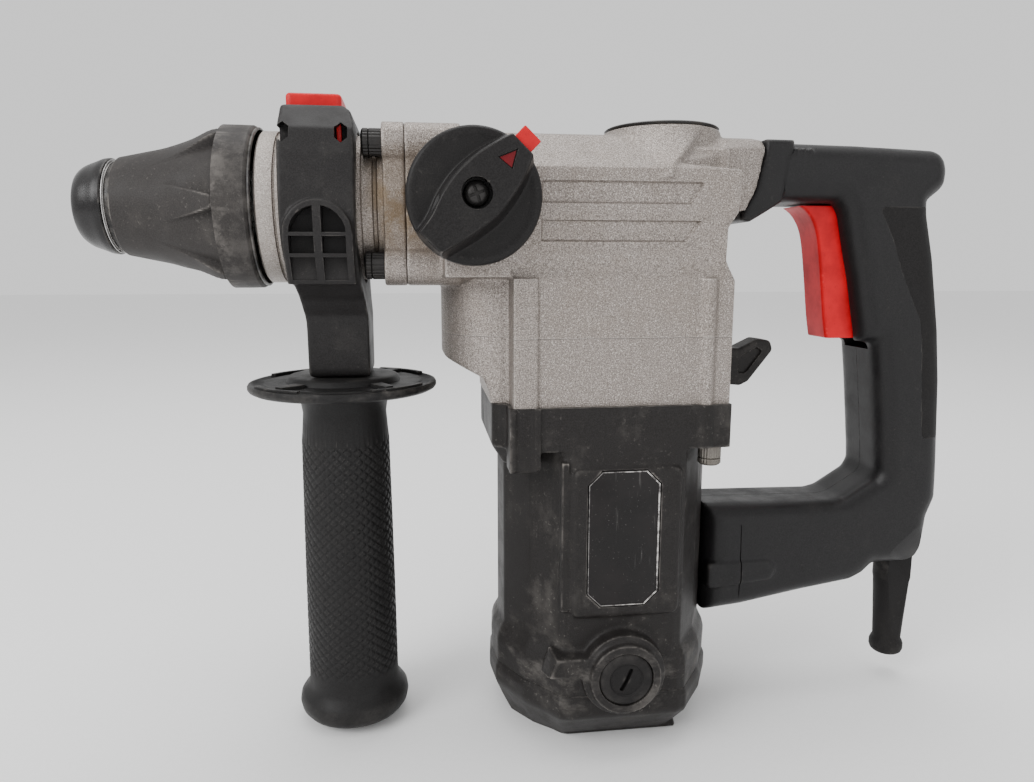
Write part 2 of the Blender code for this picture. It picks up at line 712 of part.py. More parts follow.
HANDLE_OUTLINE = [
    (46.5, 45.4), (53.7, 45.7), (65.3, 47.4), (94.7, 52.7), (121.0, 56.8), (125.8, 59.6), (130.5, 64.4),
    (150.5, 64.6), (155.0, 68.5), (157.0, 87.6), (160.4, 97.0), (160.0, 108.0), (158.7, 129.1),
    (157.1, 152.7), (154.4, 175.8), (148.8, 208.2), (143.4, 232.4), (150.8, 238.0), (151.8, 246.0),
    (148.6, 253.2), (144.8, 254.9), (111.0, 256.1), (64.7, 256.9), (64.0, 251.5), (60.0, 236.0),
    (55.0, 227.0), (55.2, 223.6), (59.0, 222.9), (65.5, 226.7), (68.9, 228.8), (72.5, 231.6),
    (100.8, 231.6), (103.6, 226.8), (107.1, 211.6), (110.5, 198.3), (115.6, 172.6), (115.8, 170.6),
    (122.8, 170.0), (125.0, 153.8), (127.3, 133.6), (129.0, 118.0), (130.5, 108.3), (113.7, 97.5),
    (108.0, 96.1), (46.5, 97.0),
]
HANDLE_ROOM = [
    (60.0, 51.5), (94.0, 57.3), (119.5, 61.4), (123.5, 64.0), (128.6, 69.0), (148.5, 69.2),
    (150.6, 71.0), (152.6, 88.8), (155.8, 98.0), (155.4, 108.0), (154.2, 129.0), (152.6, 152.0),
    (150.0, 175.0), (144.4, 207.0), (138.6, 232.5), (146.4, 240.5), (146.6, 248.0), (143.0, 250.4),
    (111.0, 251.4), (84.0, 251.8), (84.0, 236.2), (103.5, 236.2), (108.0, 228.0), (111.5, 212.5),
    (115.0, 199.0), (120.0, 176.0), (127.6, 174.6), (127.6, 169.0), (129.6, 153.5), (131.9, 133.5),
    (133.6, 118.0), (134.8, 106.0), (115.0, 93.0), (108.5, 91.5), (60.0, 92.4),
]
PAD_OUTLINE = [
    (118.2, 229.3), (125.6, 215.7), (130.5, 202.7), (139.2, 185.1), (141.6, 180.6), (143.2, 171.6),
    (144.8, 153.4), (146.4, 134.9), (147.6, 126.3), (154.4, 126.3), (153.2, 148.0), (150.6, 172.0),
    (144.8, 205.0), (139.6, 229.3),
]


def shrink(outline, amount):
    """Move every edge of an outline inwards by the same amount."""
    count = len(outline)
    area = 0.0
    for (a, b), (c, d) in zip(outline, outline[1:] + outline[:1]):
        area += a * d - b * c
    side = 1.0 if area > 0 else -1.0
    moved = []
    for i in range(count):
        before, here, after = outline[i - 1], outline[i], outline[(i + 1) % count]
        normals = []
        for (a, b), (c, d) in ((before, here), (here, after)):
            length = math.hypot(c - a, d - b)
            normals.append((-side * (d - b) / length, side * (c - a) / length))
        (na, nb), (ma, mb) = normals
        scale = amount / (1 + na * ma + nb * mb)
        moved.append((here[0] + (na + ma) * scale, here[1] + (nb + mb) * scale))
    return moved


def soften(obj, side, depth):
    """Chamfer the rim of the outer side face of a handle shell."""
    work = bmesh.new()
    work.from_mesh(obj.data)
    limit = HANDLE_HALF_Y - 0.01
    rim = [
        edge for edge in work.edges
        if all(side * vertex.co.y > limit for vertex in edge.verts) and len(edge.link_faces) == 2
        and edge.calc_face_angle(0.0) > 1.0
    ]
    bmesh.ops.bevel(
        work, geom=rim, offset=depth, offset_type="OFFSET", segments=1, profile=0.5, affect="EDGES",
        clamp_overlap=True,
    )
    work.to_mesh(obj.data)
    work.free()


def build_handle():
    """Build the two handle shells, their soft pads, the trigger, the switch and the cord sleeve."""
    for name, side in (("left", 1), ("right", -1)):
        ends = sorted((side * 0.1, side * HANDLE_HALF_Y))
        shell = prism("handle_" + name, HANDLE_OUTLINE, "Y", ends[0], ends[1])
        soften(shell, side, 3.5)
        room = sorted((-side * 1.0, side * 15.0))
        cut(
            shell,
            prism("room", HANDLE_ROOM, "Y", room[0], room[1]),
            box("trigger_slot", (98.0, -9.4, 166.8), (128.0, 9.4, 231.5)),
            rod("cord_hole", "Z", (CORD_X, 0.0), 8.9, 55.0, 75.0, 24),
        )
        recess = sorted((side * 17.8, side * 25.0))
        cut(shell, prism("recess", PAD_OUTLINE, "Y", recess[0], recess[1]))
        pad = sorted((side * 17.9, side * 19.3))
        prism("grip_pad_" + name, shrink(PAD_OUTLINE, 0.15), "Y", pad[0], pad[1])
    prism("trigger", [
        (86.5, 230.8), (90.1, 228.5), (93.2, 224.6), (95.2, 220.0), (97.3, 210.0), (99.0, 198.0),
        (100.4, 187.0), (102.9, 172.0), (121.5, 172.0), (125.0, 178.0), (118.0, 226.0), (112.0, 230.8),
    ], "Y", -8.8, 8.8)
    box("switch", (132.5, -10.0, 178.0), (143.0, 10.0, 205.0))
    lathe("strain_relief", [
        (12.0, 3.2), (12.0, 6.4), (14.2, 7.7), (17.2, 7.7), (19.7, 6.5), (50.0, 8.2), (52.0, 8.6),
        (72.0, 8.6), (72.0, 3.2),
    ], "Z", (CORD_X, 0.0), 24)


# ---------------------------------------------------------------- side handle

def build_side_handle():
    """Build the clamp round the neck, the red button, the bolt and the grip with its guard."""
    clamp = rod("side_clamp", "X", SPINDLE, 37.5, -132.0, -104.0, 40)
    top = [
        (-34.0, 232.0), (-34.0, 251.0), (-21.0, 265.4), (21.0, 265.4), (34.0, 251.0), (34.0, 232.0),
    ]
    arm_low = [(-126.5, -16.0), (-101.7, -16.0), (-101.7, 16.0), (-126.5, 16.0)]
    arm_high = [(-130.0, -30.0), (-104.2, -30.0), (-104.2, 30.0), (-130.0, 30.0)]
    join(
        clamp,
        prism("crown", top, "X", -132.0, -104.0),
        frustum("arm", arm_low, arm_high, 186.0, 206.0),
        frustum("stem", arm_low, arm_low, 158.7, 188.0),
    )
    hexagon = [
        (-27.0 + 3.8 * math.cos(math.radians(60 * k)), 253.0 + 3.8 * math.sin(math.radians(60 * k)))
        for k in range(6)
    ]
    cut(
        clamp,
        rod("neck_bore", "X", SPINDLE, NECK_R + GAP, -140.0, -90.0, 40),
        box("button_well", (-134.0, -11.0, 261.9), (-107.1, 11.0, 270.0)),
        prism("gauge_hole", hexagon, "X", -140.0, -95.0),
        rod("bolt_hole", "Z", (GRIP_X, 0.0), 4.6, 150.0, 200.0, 20),
        rod("head_well", "Z", (GRIP_X, 0.0), 8.3, 188.0, 205.0, 24),
    )
    box("side_button", (-131.9, -10.6, 265.0), (-107.5, 10.6, 272.1))
    lathe("side_bolt", [
        (96.0, 0.0), (96.0, 4.2), (188.3, 4.2), (188.3, 8.0), (195.0, 8.0), (195.0, 0.0),
    ], "Z", (GRIP_X, 0.0), 24)
    lathe("side_grip", [
        (2.0, 0.0), (2.0, 18.0), (4.0, 22.5), (8.0, 24.4), (12.5, 24.4), (16.0, 21.5), (22.0, 19.9),
        (81.0, 19.8), (130.0, 18.6), (142.0, 17.8), (149.0, 19.6), (151.0, 26.0), (152.0, 38.6),
        (153.2, 39.9), (155.6, 39.9), (156.2, 38.6), (156.2, 22.0), (158.3, 21.0), (158.3, 4.6),
        (95.0, 4.6), (95.0, 0.0),
    ], "Z", (GRIP_X, 0.0), 32)


def finish():
    """Scale every mesh to metres and name its data after its object."""
    for obj in list(bpy.data.objects):
        for vertex in obj.data.vertices:
            vertex.co = vertex.co * MM
        obj.data.name = obj.name
        obj.data.update()


def build():
    """Build the whole part."""
    clear_scene()
    build_chuck()
    build_spindle()
    build_piston()
    build_bearings()
    spindle_gearing()
    build_gear_housing()
    build_gear_base()
    build_front_cover()
    build_case_parts()
    build_knob()
    build_armature()
    build_motor_housing()
    build_motor_details()
    build_handle()
    build_side_handle()
    finish()


build()
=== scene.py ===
"""Looks of the rotary hammer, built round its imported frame.

Shapes are modelled in millimetres in the row frame: +X points to the D-handle, -Y to the viewer
and +Z up. place() scales each one to metres and puts it on its body.
"""

import math

import bmesh
import bpy
import numpy as np
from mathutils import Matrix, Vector


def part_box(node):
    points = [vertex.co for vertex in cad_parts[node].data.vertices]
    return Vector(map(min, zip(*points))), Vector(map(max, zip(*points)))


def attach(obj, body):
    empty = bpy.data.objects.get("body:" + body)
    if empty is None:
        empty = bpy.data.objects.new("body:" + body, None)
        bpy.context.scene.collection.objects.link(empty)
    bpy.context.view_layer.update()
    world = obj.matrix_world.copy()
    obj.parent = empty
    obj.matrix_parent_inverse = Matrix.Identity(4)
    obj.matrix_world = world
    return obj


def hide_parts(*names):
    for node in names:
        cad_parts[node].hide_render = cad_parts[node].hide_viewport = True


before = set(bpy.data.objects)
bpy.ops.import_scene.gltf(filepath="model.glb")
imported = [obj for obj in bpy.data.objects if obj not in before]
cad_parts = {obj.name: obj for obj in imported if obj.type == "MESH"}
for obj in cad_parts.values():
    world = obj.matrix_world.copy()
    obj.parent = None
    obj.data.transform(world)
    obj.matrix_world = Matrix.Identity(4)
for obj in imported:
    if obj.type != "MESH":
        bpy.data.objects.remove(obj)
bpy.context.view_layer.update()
MM = 0.001
FACING = (-1, 1)


def low_high(node):
    """Return a CAD node's lowest and highest corners in millimetres."""
    low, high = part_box(node)
    return low / MM, high / MM


def middle(node):
    """Return the centre of a CAD node's box in millimetres."""
    low, high = low_high(node)
    return (low + high) / 2


# Axes and levels, read from the frame
SPINDLE_Z = middle("spindle").z
SPINDLE = (0.0, SPINDLE_Z)
KNOB = (middle("mode_knob").x, middle("mode_knob").z)
GRIP_X = middle("side_bolt").x
BRUSH = (0.0, middle("brush_cap_near").z)
BOSS_X = middle("grease_cap").x
LID_X = BOSS_X - 1.0
CORD_X = middle("strain_relief").x
CASE_LOW = low_high("gear_base")[0].z
SPLIT_Z = low_high("gear_base")[1].z
FLANGE_HIGH = low_high("motor_housing")[1].z
SEAM_Z = low_high("tail_cap")[1].z + 9.0
COVER_BACK = low_high("front_cover")[1].x
NOSE_TIP = low_high("nose_cap")[0].x
FLANGE_TOP = FLANGE_HIGH + 2.0

# Places and sizes that several shapes share
BOLT_Y = 23.5
CASE_Y = 42.0
CASE_BACK = 44.0
MOTOR_X = 47.2
MOTOR_Y = 44.6
MOTOR_SCREWS = [(x, y) for x in (-38.0, 38.0) for y in (-37.5, 37.5)]
LEVER = (0.0, 162.0)
ARCH = (-117.9, 216.0)
FLANK_Y = 40.0
GAP = 0.15

# Sizes of the grid that rounds castings and mouldings
CAST_VOXEL = 0.72
MOULD_VOXEL = 0.75


# ---------------------------------------------------------------- mesh tools

def make_mesh(name, points, faces):
    """Make an object from points in millimetres, with all faces pointing out."""
    mesh = bpy.data.meshes.new(name)
    mesh.from_pydata([tuple(p) for p in points], [], faces)
    obj = bpy.data.objects.new(name, mesh)
    bpy.context.scene.collection.objects.link(obj)
    work = bmesh.new()
    work.from_mesh(mesh)
    bmesh.ops.recalc_face_normals(work, faces=work.faces[:])
    work.to_mesh(mesh)
    work.free()
    return obj


def bake_modifiers(obj):
    """Replace an object's mesh by what its modifiers make of it."""
    depsgraph = bpy.context.evaluated_depsgraph_get()
    result = bpy.data.meshes.new_from_object(obj.evaluated_get(depsgraph))
    obj.modifiers.clear()
    old = obj.data
    obj.data = result
    bpy.data.meshes.remove(old)


def prism(name, outline, axis, low, high):
    """Extrude an outline, in XY for axis Z, in XZ for axis Y and in YZ for axis X."""
    def section(h):
        if axis == "Z":
            return [(a, b, h) for a, b in outline]
        if axis == "Y":
            return [(a, h, b) for a, b in outline]
        return [(h, a, b) for a, b in outline]

    return loft(name, [section(low), section(high)])


def loft(name, sections):
    """Join closed loops of 3-D points with the same number of points each."""
    count = len(sections[0])
    points = [point for section in sections for point in section]
    last = (len(sections) - 1) * count
    faces = [tuple(range(count)), tuple(range(last, last + count))]
    for start in range(0, last, count):
        for i in range(count):
            j = (i + 1) % count
            faces.append((start + i, start + j, start + count + j, start + count + i))
    return make_mesh(name, points, faces)


def box(name, low, high):
    """Make an axis-aligned box."""
    return prism(name, rect(low[0], low[1], high[0], high[1]), "Z", low[2], high[2])


def turned(name, profile, axis, centre, segments=96, swell=None):
    """Revolve a profile of (distance along the axis, radius) pairs.

    A profile that starts and ends at radius 0 makes a solid; any other is closed into a tube.
    swell(along, radius, angle) may change the radius of a point.
    """
    points = []
    rings = []
    for along, radius in profile:
        count = 1 if radius == 0.0 else segments
        rings.append([len(points) + k % count for k in range(segments)])
        for k in range(count):
            angle = 2 * math.pi * k / segments
            r = swell(along, radius, angle) if swell and radius else radius
            u = r * math.cos(angle)
            v = r * math.sin(angle)
            if axis == "X":
                points.append((along, centre[0] + u, centre[1] + v))
            elif axis == "Y":
                points.append((centre[0] + u, along, centre[1] + v))
            else:
                points.append((centre[0] + u, centre[1] + v, along))
    pairs = list(zip(rings[:-1], rings[1:]))
    if profile[0][1] > 0.0:
        pairs.append((rings[-1], rings[0]))
    faces = []
    for first, second in pairs:
        for k in range(segments):
            n = (k + 1) % segments
            corners = []
            for index in (first[k], first[n], second[n], second[k]):
                if index not in corners:
                    corners.append(index)
            if len(corners) > 2:
                faces.append(tuple(corners))
    return make_mesh(name, points, faces)


def rod(name, axis, centre, radius, low, high, segments=48):
    """Make a plain cylinder, as a tool or as part of a larger shape."""
    return turned(name, [(low, 0.0), (low, radius), (high, radius), (high, 0.0)], axis, centre, segments)


def boolean(target, tool, operation):
    """Apply one boolean to target and remove the tool."""
    modifier = target.modifiers.new("shape", "BOOLEAN")
    modifier.operation = operation
    modifier.solver = "EXACT"
    modifier.object = tool
    bake_modifiers(target)
    bpy.data.objects.remove(tool, do_unlink=True)
    return target


def join(target, *tools):
    """Add every tool to target."""
    for tool in tools:
        boolean(target, tool, "UNION")
    return target


def merge(target, *others):
    """Put other closed shapes into target's mesh; skin() then makes one body of them."""
    work = bmesh.new()
    work.from_mesh(target.data)
    for other in others:
        work.from_mesh(other.data)
        bpy.data.objects.remove(other, do_unlink=True)
    work.to_mesh(target.data)
    work.free()
    return target


def sink(obj, inside, depth):
    """Push the points of both flanks in by depth where inside(x, z) is true."""
    for vertex in obj.data.vertices:
        x, y, z = vertex.co
        if abs(y) > FLANK_Y and inside(x, z):
            vertex.co.y -= math.copysign(depth, y)


def cut(target, *tools):
    """Take every tool out of target; the tools are joined first, so a dense target is cut once."""
    cutter = join(*tools) if len(tools) > 1 else tools[0]
    return boolean(target, cutter, "DIFFERENCE")


def common(target, *tools):
    """Keep what target and all tools share."""
    for tool in tools:
        boolean(target, tool, "INTERSECT")
    return target


def skin(obj, voxel, rounds=3):
    """Give a shape the even, slightly rounded surface of a casting or a moulding."""
    remesh = obj.modifiers.new("skin", "REMESH")
    remesh.mode = "VOXEL"
    remesh.voxel_size = voxel
    if rounds:
        soften = obj.modifiers.new("soften", "SMOOTH")
        soften.factor = 0.5
        soften.iterations = rounds
    bake_modifiers(obj)
    return obj


def bevel(obj, width, segments=3, angle=30):
    """Round the edges that are sharper than the angle."""
    modifier = obj.modifiers.new("edges", "BEVEL")
    modifier.width = width
    modifier.segments = segments
    modifier.limit_method = "ANGLE"
    modifier.angle_limit = math.radians(angle)
    bake_modifiers(obj)
    return obj


def rect(left, low, right, high):
    """Return the outline of a rectangle."""
    return [(left, low), (right, low), (right, high), (left, high)]


def both_sides(half):
    """Close a half section with its mirror image in the first coordinate."""
    return half + [(-a, b) for a, b in reversed(half)]


def both_flanks(half):
    """Close a half plan with its mirror image in the second coordinate."""
    return half + [(a, -b) for a, b in reversed(half)]


def at_level(plan, z):
    """Lift a plan to a level."""
    return [(x, y, z) for x, y in plan]


def at_depth(outline, y):
    """Put a side view at a depth."""
    return [(x, y, z) for x, z in outline]


def flank(near, far, side):
    """Return two depths on one flank (side is -1 or 1) in rising order."""
    return sorted((side * near, side * far))


def arc(centre, radius, start, end, steps):
    """Return points on an arc, with the angles in degrees."""
    angles = [math.radians(start + (end - start) * i / steps) for i in range(steps + 1)]
    return [(centre[0] + radius * math.cos(a), centre[1] + radius * math.sin(a)) for a in angles]


def spun(pairs, degrees, centre):
    """Turn points about the origin, then move them to a centre."""
    c = math.cos(math.radians(degrees))
    s = math.sin(math.radians(degrees))
    return [(centre[0] + u * c - v * s, centre[1] + u * s + v * c) for u, v in pairs]


def rounded(outline, radius, steps=5):
    """Round every corner of an outline, as far as its edges leave room."""
    count = len(outline)
    result = []
    for i in range(count):
        here = Vector(outline[i])
        back = Vector(outline[i - 1]) - here
        ahead = Vector(outline[(i + 1) % count]) - here
        angle = back.angle(ahead)
        if angle > math.radians(172):
            result.append(tuple(here))
            continue
        reach = min(radius / math.tan(angle / 2), back.length * 0.45, ahead.length * 0.45)
        start = here + back.normalized() * reach
        end = here + ahead.normalized() * reach
        for k in range(steps + 1):
            t = k / steps
            result.append(tuple(start * (1 - t) ** 2 + here * 2 * t * (1 - t) + end * t ** 2))
    return result


def smooth_step(value, low, high):
    """Return a soft 0 to 1 ramp between two values."""
    t = min(1.0, max(0.0, (value - low) / (high - low)))
    return t * t * (3 - 2 * t)


def through(points, steps):
    """Return a smooth curve through points."""
    result = []
    for i in range(len(points) - 1):
        before = Vector(points[max(0, i - 1)])
        start = Vector(points[i])
        end = Vector(points[i + 1])
        after = Vector(points[min(len(points) - 1, i + 2)])
        for k in range(steps):
            t = k / steps
            spot = (
                start * 2 + (end - before) * t + (before * 2 - start * 5 + end * 4 - after) * t * t
                + (start * 3 - before - end * 3 + after) * t ** 3
            ) * 0.5
            result.append(tuple(spot))
    result.append(tuple(points[-1]))
    return result


def pillow(name, outline, half, rim, steps=5):
    """Extrude an XZ outline to both sides of Y = 0, with a round rim."""
    area = sum(a * d - b * c for (a, b), (c, d) in zip(outline, outline[1:] + outline[:1]))
    ordered = outline if area > 0 else outline[::-1]
    curve = bpy.data.curves.new(name, "CURVE")
    curve.dimensions = "2D"
    curve.fill_mode = "BOTH"
    spline = curve.splines.new("POLY")
    spline.points.add(len(ordered) - 1)
    for point, (x, z) in zip(spline.points, ordered):
        point.co = (x, z, 0.0, 1.0)
    spline.use_cyclic_u = True
    curve.offset = -rim
    curve.extrude = half - rim
    curve.bevel_depth = rim
    curve.bevel_resolution = steps
    source = bpy.data.objects.new(name + "_curve", curve)
    bpy.context.scene.collection.objects.link(source)
    depsgraph = bpy.context.evaluated_depsgraph_get()
    mesh = bpy.data.meshes.new_from_object(source.evaluated_get(depsgraph))
    bpy.data.objects.remove(source, do_unlink=True)
    work = bmesh.new()
    work.from_mesh(mesh)
    for vertex in work.verts:
        x, z, y = vertex.co
        vertex.co = (x, y, z)
    bmesh.ops.remove_doubles(work, verts=work.verts[:], dist=0.01)
    bmesh.ops.recalc_face_normals(work, faces=work.faces[:])
    work.to_mesh(mesh)
    work.free()
    obj = bpy.data.objects.new(name, mesh)
    bpy.context.scene.collection.objects.link(obj)
    return obj


def place(obj, body, slot, surface, *nodes, sharp=35):
    """Scale a shape to metres, shade it, and put it on its body in place of its CAD nodes."""
    mesh = obj.data
    for vertex in mesh.vertices:
        vertex.co = vertex.co * MM
    mesh.name = obj.name
    mesh.shade_smooth()
    mesh.set_sharp_from_angle(angle=math.radians(sharp))
    mesh.materials.clear()
    mesh.materials.append(surface)
    mesh.update()
    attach(obj, body)
    if nodes:
        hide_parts(*nodes)
    return obj


# ---------------------------------------------------------------- materials

DUST = (0.13, 0.12, 0.11)


def shade(colour, factor, lift=0.0):
    """Return a colour made lighter or darker."""
    return tuple(factor * value + lift for value in colour)


class Surface:
    """A small helper that wires the nodes of one material."""

    def __init__(self, name):
        self.material = bpy.data.materials.new(name)
        self.material.use_nodes = True
        self.tree = self.material.node_tree
        self.tree.nodes.clear()
        self.shader = self.add("ShaderNodeBsdfPrincipled")
        output = self.add("ShaderNodeOutputMaterial")
        self.link(self.shader.outputs["BSDF"], output.inputs["Surface"])
        self.place = self.add("ShaderNodeTexCoord").outputs["Object"]

    def add(self, kind):
        """Add a node."""
        return self.tree.nodes.new(kind)

    def link(self, source, target):
        """Link two sockets."""
        self.tree.links.new(source, target)

    def fill(self, socket, value):
        """Give a socket a number, a colour or a link."""
        if isinstance(value, (int, float)):
            socket.default_value = value
        elif isinstance(value, tuple):
            socket.default_value = (*value, 1.0)
        else:
            self.link(value, socket)

    def stretched(self, scale):
        """Return object coordinates scaled by axis."""
        node = self.add("ShaderNodeMapping")
        node.inputs["Scale"].default_value = scale
        self.link(self.place, node.inputs["Vector"])
        return node.outputs["Vector"]

    def noise(self, scale, detail=3.0, rough=0.55, vector=None):
        """Return a noise value; scale is in features per metre."""
        node = self.add("ShaderNodeTexNoise")
        node.inputs["Scale"].default_value = scale
        node.inputs["Detail"].default_value = detail
        node.inputs["Roughness"].default_value = rough
        self.link(vector or self.place, node.inputs["Vector"])
        return node.outputs["Fac"]

    def ramp(self, value, low, high, start=0.0, end=1.0):
        """Map a value softly from one range to another, clamped."""
        node = self.add("ShaderNodeMapRange")
        node.interpolation_type = "SMOOTHSTEP"
        node.inputs["From Min"].default_value = low
        node.inputs["From Max"].default_value = high
        node.inputs["To Min"].default_value = start
        node.inputs["To Max"].default_value = end
        self.link(value, node.inputs["Value"])
        return node.outputs["Result"]

    def math(self, operation, first, second):
        """Combine two values; either may be a number."""
        node = self.add("ShaderNodeMath")
        node.operation = operation
        self.fill(node.inputs[0], first)
        self.fill(node.inputs[1], second)
        return node.outputs["Value"]

    def times(self, first, *others):
        """Multiply values."""
        for other in others:
            first = self.math("MULTIPLY", first, other)
        return first

    def mix(self, share, first, second):
        """Mix two colours; either may be a socket."""
        node = self.add("ShaderNodeMix")
        node.data_type = "RGBA"
        self.link(share, node.inputs["Factor"])
        self.fill(node.inputs[6], first)
        self.fill(node.inputs[7], second)
        return node.outputs[2]

    def tint(self, colour, share, amount, second):
        """Mix in a second colour by a share times an amount."""
        return self.mix(self.times(share, amount), colour, second)

    def edges(self, low, high):
        """Return how much a point is on a raised edge, or in a hollow where low is above high."""
        return self.ramp(self.add("ShaderNodeNewGeometry").outputs["Pointiness"], low, high)

    def along(self, axis):
        """Return one object coordinate in metres."""
        node = self.add("ShaderNodeSeparateXYZ")
        self.link(self.place, node.inputs["Vector"])
        return node.outputs[axis]

    def bump(self, height, strength, distance):
        """Add a bump to the shader's normal."""
        node = self.add("ShaderNodeBump")
        node.inputs["Strength"].default_value = strength
        node.inputs["Distance"].default_value = distance
        self.link(height, node.inputs["Height"])
        normal = self.shader.inputs["Normal"]
        if normal.is_linked:
            self.link(normal.links[0].from_socket, node.inputs["Normal"])
        self.link(node.outputs["Normal"], normal)

    def set(self, **values):
        """Set or link the shader's sockets; an underscore stands for a space."""
        for name, value in values.items():
            self.fill(self.shader.inputs[name.replace("_", " ")], value)


def cast_aluminium(name, stained=False):
    """Sand-blasted cast aluminium with bright flecks, worn edges, grease and painted shade in its hollows.
    """
    s = Surface(name)
    grain = s.noise(2000.0, 2.0, 0.6)
    flecks = s.ramp(s.noise(2700.0, 1.0, 0.5), 0.56, 0.72)
    cloud = s.noise(28.0, 4.0, 0.6)
    colour = s.mix(s.ramp(grain, 0.32, 0.68), (0.150, 0.130, 0.117), (0.345, 0.306, 0.278))
    colour = s.tint(colour, flecks, 0.55, (0.84, 0.78, 0.73))
    colour = s.mix(s.ramp(cloud, 0.5, 0.8, 0.0, 0.3), colour, (0.20, 0.17, 0.145))
    colour = s.tint(colour, s.edges(0.515, 0.57), 0.3, (0.66, 0.62, 0.58))
    # Painted shade: the colour is darkened in hollows and creases, where shade falls.
    colour = s.tint(colour, s.edges(0.49, 0.43), 0.55, (0.10, 0.085, 0.07))
    if stained:
        patch = s.ramp(s.noise(60.0, 4.0, 0.65), 0.42, 0.66)
        zone = s.times(
            s.ramp(s.along("X"), -0.104, -0.094), s.ramp(s.along("X"), -0.066, -0.078),
            s.times(s.ramp(s.along("Z"), 0.205, 0.216), s.ramp(s.along("Z"), 0.254, 0.244)),
        )
        strong = s.times(zone, s.ramp(patch, 0.0, 1.0, 0.35, 0.85))
        grease = s.math("MAXIMUM", strong, s.times(patch, 0.08))
        colour = s.mix(grease, colour, (0.17, 0.118, 0.066))
    s.set(Base_Color=colour, Metallic=0.72, Roughness=s.ramp(grain, 0.3, 0.7, 0.60, 0.38))
    s.bump(grain, 0.55, 0.0004)
    s.bump(s.noise(420.0, 3.0), 0.25, 0.0005)
    return s.material


def foot_dust(s, colour):
    """Smear dust over the wide foot of the motor."""
    height = s.along("Z")
    band = s.times(s.ramp(height, 0.016, 0.026), s.ramp(height, 0.056, 0.043))
    smear = s.ramp(s.noise(70.0, 5.0, 0.7, s.stretched((0.8, 0.8, 1.5))), 0.46, 0.70)
    return s.tint(colour, s.times(band, smear), 0.50, DUST)


def moulded_plastic(name, base, dust, edge=0.5, rough=0.5, grain=0.35, gloss=0.16, dusty_foot=False):
    """Moulded plastic with a fine grain, dust that has settled and edges rubbed light."""
    s = Surface(name)
    fine = s.noise(2400.0, 2.0, 0.6)
    cloud = s.noise(55.0, 5.0, 0.68)
    streak = s.noise(90.0, 4.0, 0.6, s.stretched((1.0, 1.0, 0.25)))
    specks = s.ramp(s.noise(700.0, 2.0, 0.7), 0.60, 0.74)
    colour = s.mix(s.ramp(fine, 0.35, 0.65), base, shade(base, 1.35, 0.004))
    colour = s.tint(colour, s.times(s.ramp(cloud, 0.46, 0.74), s.ramp(streak, 0.35, 0.7)), dust, DUST)
    colour = s.tint(colour, s.times(specks, s.ramp(cloud, 0.4, 0.65)), dust, shade(DUST, 1.5))
    if dusty_foot:
        colour = foot_dust(s, colour)
    rubbed = s.times(s.edges(0.515, 0.58), s.ramp(s.noise(120.0, 4.0, 0.7), 0.38, 0.66))
    colour = s.tint(colour, rubbed, edge, shade(DUST, 1.6))
    mottle = s.math("ADD", cloud, s.times(fine, 0.3))
    s.set(Base_Color=colour, Specular_IOR_Level=gloss,
          Roughness=s.ramp(mottle, 0.5, 0.9, rough - 0.08, rough + 0.14))
    s.bump(fine, grain, 0.00012)
    s.bump(s.noise(160.0, 3.0), 0.12, 0.0004)
    return s.material


def red_plastic(name, deep, bright):
    """Bright moulded red plastic, with a painted highlight on its raised edges."""
    s = Surface(name)
    cloud = s.noise(70.0, 4.0, 0.6)
    colour = s.mix(s.ramp(cloud, 0.35, 0.7), bright, deep)
    colour = s.tint(colour, s.ramp(s.noise(500.0, 3.0), 0.64, 0.74), 0.25, (0.20, 0.006, 0.008))
    # Painted highlight: raised edges are made a brighter red, as if catching the light.
    colour = s.tint(colour, s.edges(0.52, 0.6), 0.3, (0.75, 0.06, 0.06))
    s.set(Base_Color=colour, Specular_IOR_Level=0.2, Roughness=s.ramp(cloud, 0.3, 0.7, 0.30, 0.42))
    s.bump(s.noise(2200.0, 2.0), 0.22, 0.0001)
    return s.material


def metal(name, base, rough, brushed=(1.0, 1.0, 1.0), stain=0.2, metallic=1.0):
    """Machined or plated metal with fine turning marks and stains."""
    s = Surface(name)
    lines = s.noise(1300.0, 3.0, 0.6, s.stretched(brushed))
    cloud = s.noise(80.0, 4.0, 0.6)
    colour = s.mix(s.ramp(lines, 0.3, 0.7), shade(base, 0.72), base)
    colour = s.mix(s.ramp(cloud, 0.5, 0.8, 0.0, stain), colour, (0.06, 0.045, 0.03))
    s.set(Base_Color=colour, Metallic=metallic, Roughness=s.ramp(lines, 0.3, 0.7, rough, rough + 0.15))
    s.bump(lines, 0.2, 0.0001)
    return s.material


def gloss_label(name):
    """Glossy black label film with faint scratches and dust."""
    s = Surface(name)
    cloud = s.noise(60.0, 4.0, 0.6)
    scratches = s.ramp(s.noise(900.0, 2.0, 0.5, s.stretched((1.0, 1.0, 0.06))), 0.66, 0.74)
    colour = s.mix(s.ramp(cloud, 0.4, 0.7), (0.0045, 0.0036, 0.0036), (0.0085, 0.0066, 0.0066))
    colour = s.tint(colour, scratches, 0.10, (0.3, 0.29, 0.28))
    colour = s.tint(colour, s.ramp(s.noise(1500.0, 1.0), 0.72, 0.78), 0.3, (0.2, 0.19, 0.18))
    s.set(Base_Color=colour, Specular_IOR_Level=0.25, Roughness=s.ramp(cloud, 0.3, 0.7, 0.24, 0.36))
    s.bump(s.noise(1200.0, 2.0), 0.05, 0.0001)
    return s.material


def worn_line(name):
    """The light, partly rubbed off border of the label."""
    s = Surface(name)
    worn = s.ramp(s.noise(420.0, 4.0, 0.7), 0.36, 0.6)
    share = s.times(worn, s.ramp(s.along("X"), -0.012, 0.014, 0.3, 1.0))
    s.set(Base_Color=s.mix(share, (0.035, 0.03, 0.03), (0.52, 0.50, 0.48)),
          Roughness=s.ramp(worn, 0.0, 1.0, 0.35, 0.6))
    s.bump(worn, 0.2, 0.0001)
    return s.material


